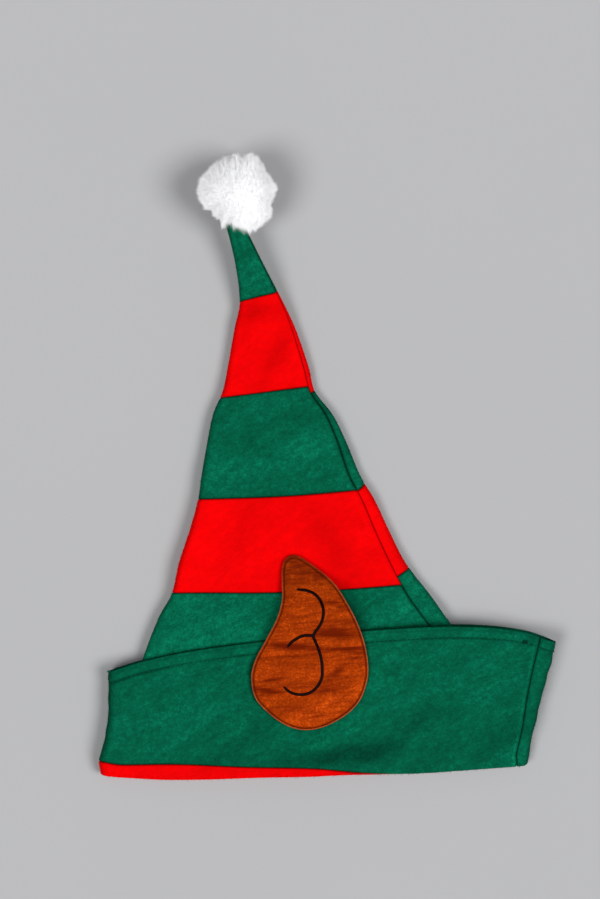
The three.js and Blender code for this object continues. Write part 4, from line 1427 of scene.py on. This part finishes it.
class HAT_OT_stripes(bpy.types.Operator):
    """Builds the cone's red and green stripes, a front and a back panel of each"""

    bl_idname = "elf_hat.stripes"
    bl_label = "Striped cone"

    def execute(self, context):
        settings = context.scene.elf_hat
        for panel in ("back", "front"):
            build_mouth_stripe(panel, settings)
            for index in range(1, len(STRIPE_NAMES)):
                build_stripe(panel, index, settings)
        return {"FINISHED"}


class HAT_OT_cuff(bpy.types.Operator):
    """Builds the turned-up cuff with its stitched hem"""

    bl_idname = "elf_hat.cuff"
    bl_label = "Cuff"

    def execute(self, context):
        for panel in ("back", "front"):
            build_cuff_half(panel, context.scene.elf_hat)
        return {"FINISHED"}


class HAT_OT_ears(bpy.types.Operator):
    """Builds the two padded ears with their stitches and embroidered lines"""

    bl_idname = "elf_hat.ears"
    bl_label = "Ears"

    def execute(self, context):
        settings = context.scene.elf_hat
        for name, upper in (("ear_upper", True), ("ear_lower", False)):
            outline = build_ear(name, upper, settings)
            if upper:
                build_ear_details(name, outline, settings)
        return {"FINISHED"}


class HAT_OT_pompom(bpy.types.Operator):
    """Builds the pompom: a packed core of pile under thousands of fibres drawn into tufts"""

    bl_idname = "elf_hat.pompom"
    bl_label = "Pompom"

    def execute(self, context):
        build_pompom(context.scene.elf_hat)
        return {"FINISHED"}


def sphere_directions(count, rng=None):
    """Directions spread evenly over a sphere, a little shaken where a generator is given."""
    i = np.arange(count)
    height = 1 - (2 * i + 1) / count
    ring = np.sqrt(1 - height**2)
    turn = math.pi * (3 - math.sqrt(5)) * i
    found = np.stack([ring * np.cos(turn), ring * np.sin(turn), height], -1)
    if rng is not None:
        found = unit(found + rng.normal(size=found.shape) * 0.6 / math.sqrt(count))
    return found


def pompom_reach(out, radius):
    """How far the pompom's pile reaches in each direction: nearly round, with soft lobes."""
    turn = np.degrees(np.arctan2(out[..., 1], out[..., 0]))
    lobes = np.interp(turn, POMPOM_LOBES["turn"], POMPOM_LOBES["reach"], period=360)
    lobes = lobes - POMPOM_MEAN_REACH
    lumps = (
        0.022 * np.sin(5.1 * out[..., 0] + 2.0 * out[..., 1])
        + 0.02 * np.sin(6.3 * out[..., 1] - 1.7 + 3 * out[..., 2])
        + 0.016 * np.sin(11 * out[..., 0] - 7 * out[..., 1] + 1)
    )
    level = smoothstep(np.hypot(out[..., 0], out[..., 1]), 0.3, 0.95)
    return radius * (POMPOM_MEAN_REACH + level * lobes + (1 - 0.7 * level) * lumps)


def build_pompom(settings):
    low, high = (np.array(corner) / MM - MOUTH_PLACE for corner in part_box("pompom"))
    centre = (low + high) / 2 + (0.6, -0.4, 0.0)
    radius = float(np.min(high - low)) / 2 + 0.4
    centre[2] = radius
    rng = np.random.default_rng(21)
    tip = cone_point(np.array([1.5]), np.array([CONE_LENGTH - 12.0]), 0.5)[0]
    towards_tip = unit(tip - centre)
    white = material_once("White pile", pile_material, tuple(settings.pile))
    pile = settings.pile_length / MM
    clumps = sphere_directions(420, rng)
    uneven = 1 + 0.02 * rng.normal(size=len(clumps))

    def nearest_clump(out):
        return np.concatenate([np.argmax(some @ clumps.T, 1) for some in np.array_split(out, 20)])

    def packed(out):
        """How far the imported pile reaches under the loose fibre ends."""
        angle = np.degrees(np.arccos(np.clip(out @ towards_tip, -1, 1)))
        opened = lerp(12.5 / radius, 1, smoothstep(angle, 23, 36))
        spread = np.degrees(np.arccos(np.clip((out * clumps[nearest_clump(out)]).sum(1), -1, 1)))
        return opened * (pompom_reach(out, radius) - pile * 0.55 - 0.9 * smoothstep(spread, 1.0, 6.5))

    rings, sides = 100, 150
    polar = np.linspace(0.0, math.pi, rings)[:, None]
    around = np.linspace(0, 2 * math.pi, sides, endpoint=False)[None, :]
    out = np.stack(
        [np.sin(polar) * np.cos(around), np.sin(polar) * np.sin(around), np.cos(polar) + 0 * around], -1
    ).reshape(-1, 3)
    points = centre + out * packed(out)[:, None]
    points[:, 2] = np.maximum(points[:, 2], 0.3)
    ids = np.arange(rings * sides).reshape(rings, sides)
    quads = np.stack(
        [ids[:-1], np.roll(ids[:-1], -1, 1), np.roll(ids[1:], -1, 1), ids[1:]], -1
    ).reshape(-1, 4)
    # The core under the fibres is greyed by painted shade
    base = new_piece("pile_pompom_core", points, outward(points, quads), white, "white_pile",
                     ["pompom"], {"shade": np.full(len(points), 0.6)})
    weld(base)

    for layer, (pull, width, loose) in enumerate(((0.45, 0.3, 0.06), (0.2, 0.26, 0.15))):
        out = sphere_directions(settings.pile_fibres, rng)
        angle = np.degrees(np.arccos(np.clip(out @ towards_tip, -1, 1)))
        out = out[angle > 20]
        lean = rng.normal(size=out.shape) * loose
        clump = nearest_clump(out)
        pulled = unit(lerp(out, clumps[clump], pull) + lean)
        length = pile * (0.8 + 0.55 * rng.random(len(out)) ** 3)
        roots = centre + out * (packed(out) - 1.0)[:, None]
        reach = pompom_reach(pulled, radius) * uneven[clump]
        tips = centre + pulled * (reach - pile + length)[:, None]
        middles = lerp(roots, tips, 0.55) + rng.normal(size=out.shape) * 0.3 + (out - pulled) * 4
        for some in (roots, middles, tips):
            some[:, 2] = np.maximum(some[:, 2], 0.35)
        points, faces = fibres(roots, middles, tips, width * rng.uniform(0.8, 1.2, len(out)), rng)
        # Painted shade: the fibres darken towards their roots and on the pompom's right side, with
        # painted light on its upper left
        depth = np.tile([0.8, 0.8, 0.8, 0.3, 0.3, 0.3, 0.0], len(out))
        tilt = np.repeat(rng.normal(size=out.shape) * 0.06, 7, axis=0)
        ways = unit(points - centre)
        depth = depth + 6.0 * smoothstep(ways[:, 0], 0.4, 0.9)
        depth = depth - 1.8 * smoothstep(ways[:, 1] - ways[:, 0], 0.2, 1.1)
        normals = unit(ways + tilt + (-0.24, -0.08, 0.85))
        new_piece(f"pile_pompom_layer_{layer + 1}", points, faces, white, "white_pile",
                  ["pompom"], {"shade": depth}, normals)


def outline_fuzz(points, normals, length, width, rng):
    """Loose fibres that stand off a surface, bent to one side."""
    count = len(points)
    lean = rng.normal(size=(count, 3))
    length = length * rng.uniform(0.4, 1.3, count)[:, None]
    ways = unit(normals + lean * 0.7)
    bent = unit(ways + rng.normal(size=(count, 3)) * 0.6)
    roots = points - normals * 0.15
    middles = points + ways * length * 0.5
    tips = middles + bent * length * 0.5
    for some in (roots, middles, tips):
        some[:, 2] = np.maximum(some[:, 2], 0.15)
    return fibres(roots, middles, tips, width, rng)


def surface_normals(place, station, along):
    """Points and normals of a surface given by a function of two arrays."""
    points = place(station, along)
    one_way = place(station + 0.001, along) - points
    other_way = place(station, along + 0.05) - points
    return points, unit(np.cross(one_way, other_way))


def build_fuzz(settings):
    rng = np.random.default_rng(77)
    green = material_once("Green fibres", thread_material, tuple(settings.green_light), gloss=0.7)
    red = material_once("Red fibres", thread_material, tuple(settings.red_light), gloss=0.7)

    def grow(points, normals, is_red, length, green_name, red_name):
        for colour, slot, some, name in (
            (green, "green_felt", ~is_red, green_name),
            (red, "red_felt", is_red, red_name),
        ):
            skin = outline_fuzz(points[some], normals[some], length, 0.11, rng)
            new_piece(name, *skin, colour, slot)

    def cuff_skin(station, travel):
        return mouth_point(station, travel, 1.0)

    def cone_skin(station, y):
        return cone_point(station, y, 0.0)

    along_fold = 1900
    station = np.concatenate([
        rng.uniform(0.99, 2.01, along_fold),
        rng.uniform(0.3, 1.0, 330),
        rng.uniform(2.0, 2.75, 420),
        rng.uniform(1.0, 2.0, 700),
    ])
    fold = rng.uniform(0.1, 1.1, len(station)) * TURN_LENGTH
    free = np.arange(len(station)) >= along_fold
    travel = np.where(free, TURN_LENGTH + rng.uniform(0, 90, len(station)), fold)
    travel = np.minimum(travel, TURN_LENGTH + cuff_height(station) - 0.3)
    points, normals = surface_normals(cuff_skin, station, travel)
    normals = np.where((normals[:, 2:] < 0) & (points[:, 2:] > 8), -normals, normals)
    outwards = unit(points - (0, 50, 5))
    flip = np.sign((normals * outwards).sum(1, keepdims=True))
    flip = np.where(points[:, 2:] > 9, np.sign(normals[:, 2:]), flip)
    normals = normals * np.where(flip == 0, 1, flip)
    is_red = travel <= cuff_seam_travel(station)
    grow(points, normals, is_red, 1.6, "fuzz_cuff_green", "fuzz_mouth_red")

    y = rng.uniform(100, 385, 2600)
    left = rng.random(len(y)) < 0.5
    station = np.where(left, rng.uniform(0.3, 1.02, len(y)), rng.uniform(1.98, 2.7, len(y)))
    points, normals = surface_normals(cone_skin, station, y)
    flip = np.sign(normals[:, 0] * np.where(left, -1.0, 1.0) + 0.3 * normals[:, 2])
    normals = normals * np.where(flip == 0, 1, flip)[:, None]
    stripe = np.zeros(len(y), int)
    for index in range(len(STRIPE_SEAMS["left"])):
        in_front = stripe_seam(index, station, "front")
        behind = stripe_seam(index, np.maximum(station, 2.0), "back")
        stripe += y > np.where(left, in_front, behind)
    grow(points, normals, stripe % 2 == 0, 1.1, "fuzz_cone_green", "fuzz_cone_red")


class HAT_OT_fuzz(bpy.types.Operator):
    """Adds the loose fibres that stand off the felt"""

    bl_idname = "elf_hat.fuzz"
    bl_label = "Loose fibres"

    def execute(self, context):
        build_fuzz(context.scene.elf_hat)
        return {"FINISHED"}


class HAT_OT_stage(bpy.types.Operator):
    """Adds the floor, the soft lights and the camera straight above"""

    bl_idname = "elf_hat.stage"
    bl_label = "Stage"

    def execute(self, context):
        build_stage(context.scene, context.scene.elf_hat)
        return {"FINISHED"}


VIEW_CENTRE = (-0.0191, 0.01325)  # where the camera looks down, in the part's frame
VIEW_HEIGHT = 0.6293  # what it sees of the floor from top to bottom


def soft_light(name, turn, height, strength):
    """A large soft light far off, at a turn from X and a height in degrees."""
    data = bpy.data.lights.new(name, "SUN")
    data.energy = strength
    data.angle = math.radians(27)
    light = bpy.data.objects.new(name, data)
    bpy.context.scene.collection.objects.link(light)
    turn, height = math.radians(turn), math.radians(height)
    place = (math.cos(turn) * math.cos(height), math.sin(turn) * math.cos(height), math.sin(height))
    light.location = place
    light.rotation_euler = Vector(place).to_track_quat("Z", "Y").to_euler()


def build_stage(scene, settings):
    size = 8.0
    mesh = bpy.data.meshes.new("Floor")
    corners = [(-size, -size, 0), (size, -size, 0), (size, size, 0), (-size, size, 0)]
    mesh.from_pydata(corners, [], [(0, 1, 2, 3)])
    mesh.materials.append(material_once("Floor paper", floor_material, tuple(settings.floor)))
    floor = bpy.data.objects.new("Floor", mesh)
    scene.collection.objects.link(floor)

    world = bpy.data.worlds.new("Studio")
    scene.world = world
    world.use_nodes = True
    world.node_tree.nodes["Background"].inputs["Color"].default_value = (1.0, 1.0, 1.0, 1)
    world.node_tree.nodes["Background"].inputs["Strength"].default_value = 0.3
    soft_light("Left light", 180 + 32, 57, settings.light * 1.06)
    soft_light("Right light", -14, 54, settings.light * 1.34)

    camera_data = bpy.data.cameras.new("Camera")
    camera_data.sensor_fit = "VERTICAL"
    camera_data.angle = 2 * math.atan(VIEW_HEIGHT / 2 / settings.camera_height)
    camera = bpy.data.objects.new("Camera", camera_data)
    scene.collection.objects.link(camera)
    camera.location = (*VIEW_CENTRE, settings.camera_height)
    scene.camera = camera
    scene.view_settings.view_transform = "Standard"


class HAT_PT_sidebar(bpy.types.Panel):
    """Lists the hat's pieces and its settings"""

    bl_label = "Elf hat"
    bl_space_type = "VIEW_3D"
    bl_region_type = "UI"
    bl_category = "Elf hat"

    def draw(self, context):
        for operator in OPERATORS:
            self.layout.operator(operator.bl_idname)
        for name in ElfHatSettings.__annotations__:
            self.layout.prop(context.scene.elf_hat, name)


OPERATORS = (HAT_OT_stage, HAT_OT_stripes, HAT_OT_cuff, HAT_OT_ears, HAT_OT_pompom, HAT_OT_fuzz)
CLASSES = (ElfHatSettings, *OPERATORS, HAT_PT_sidebar)


def register():
    for some_class in CLASSES:
        bpy.utils.register_class(some_class)
    bpy.types.Scene.elf_hat = bpy.props.PointerProperty(type=ElfHatSettings)


def unregister():
    del bpy.types.Scene.elf_hat
    for some_class in reversed(CLASSES):
        bpy.utils.unregister_class(some_class)


def main():
    register()
    bpy.ops.elf_hat.stage()
    bpy.ops.elf_hat.stripes()
    bpy.ops.elf_hat.cuff()
    bpy.ops.elf_hat.ears()
    bpy.ops.elf_hat.pompom()
    bpy.ops.elf_hat.fuzz()


if __name__ == "__main__":
    main()
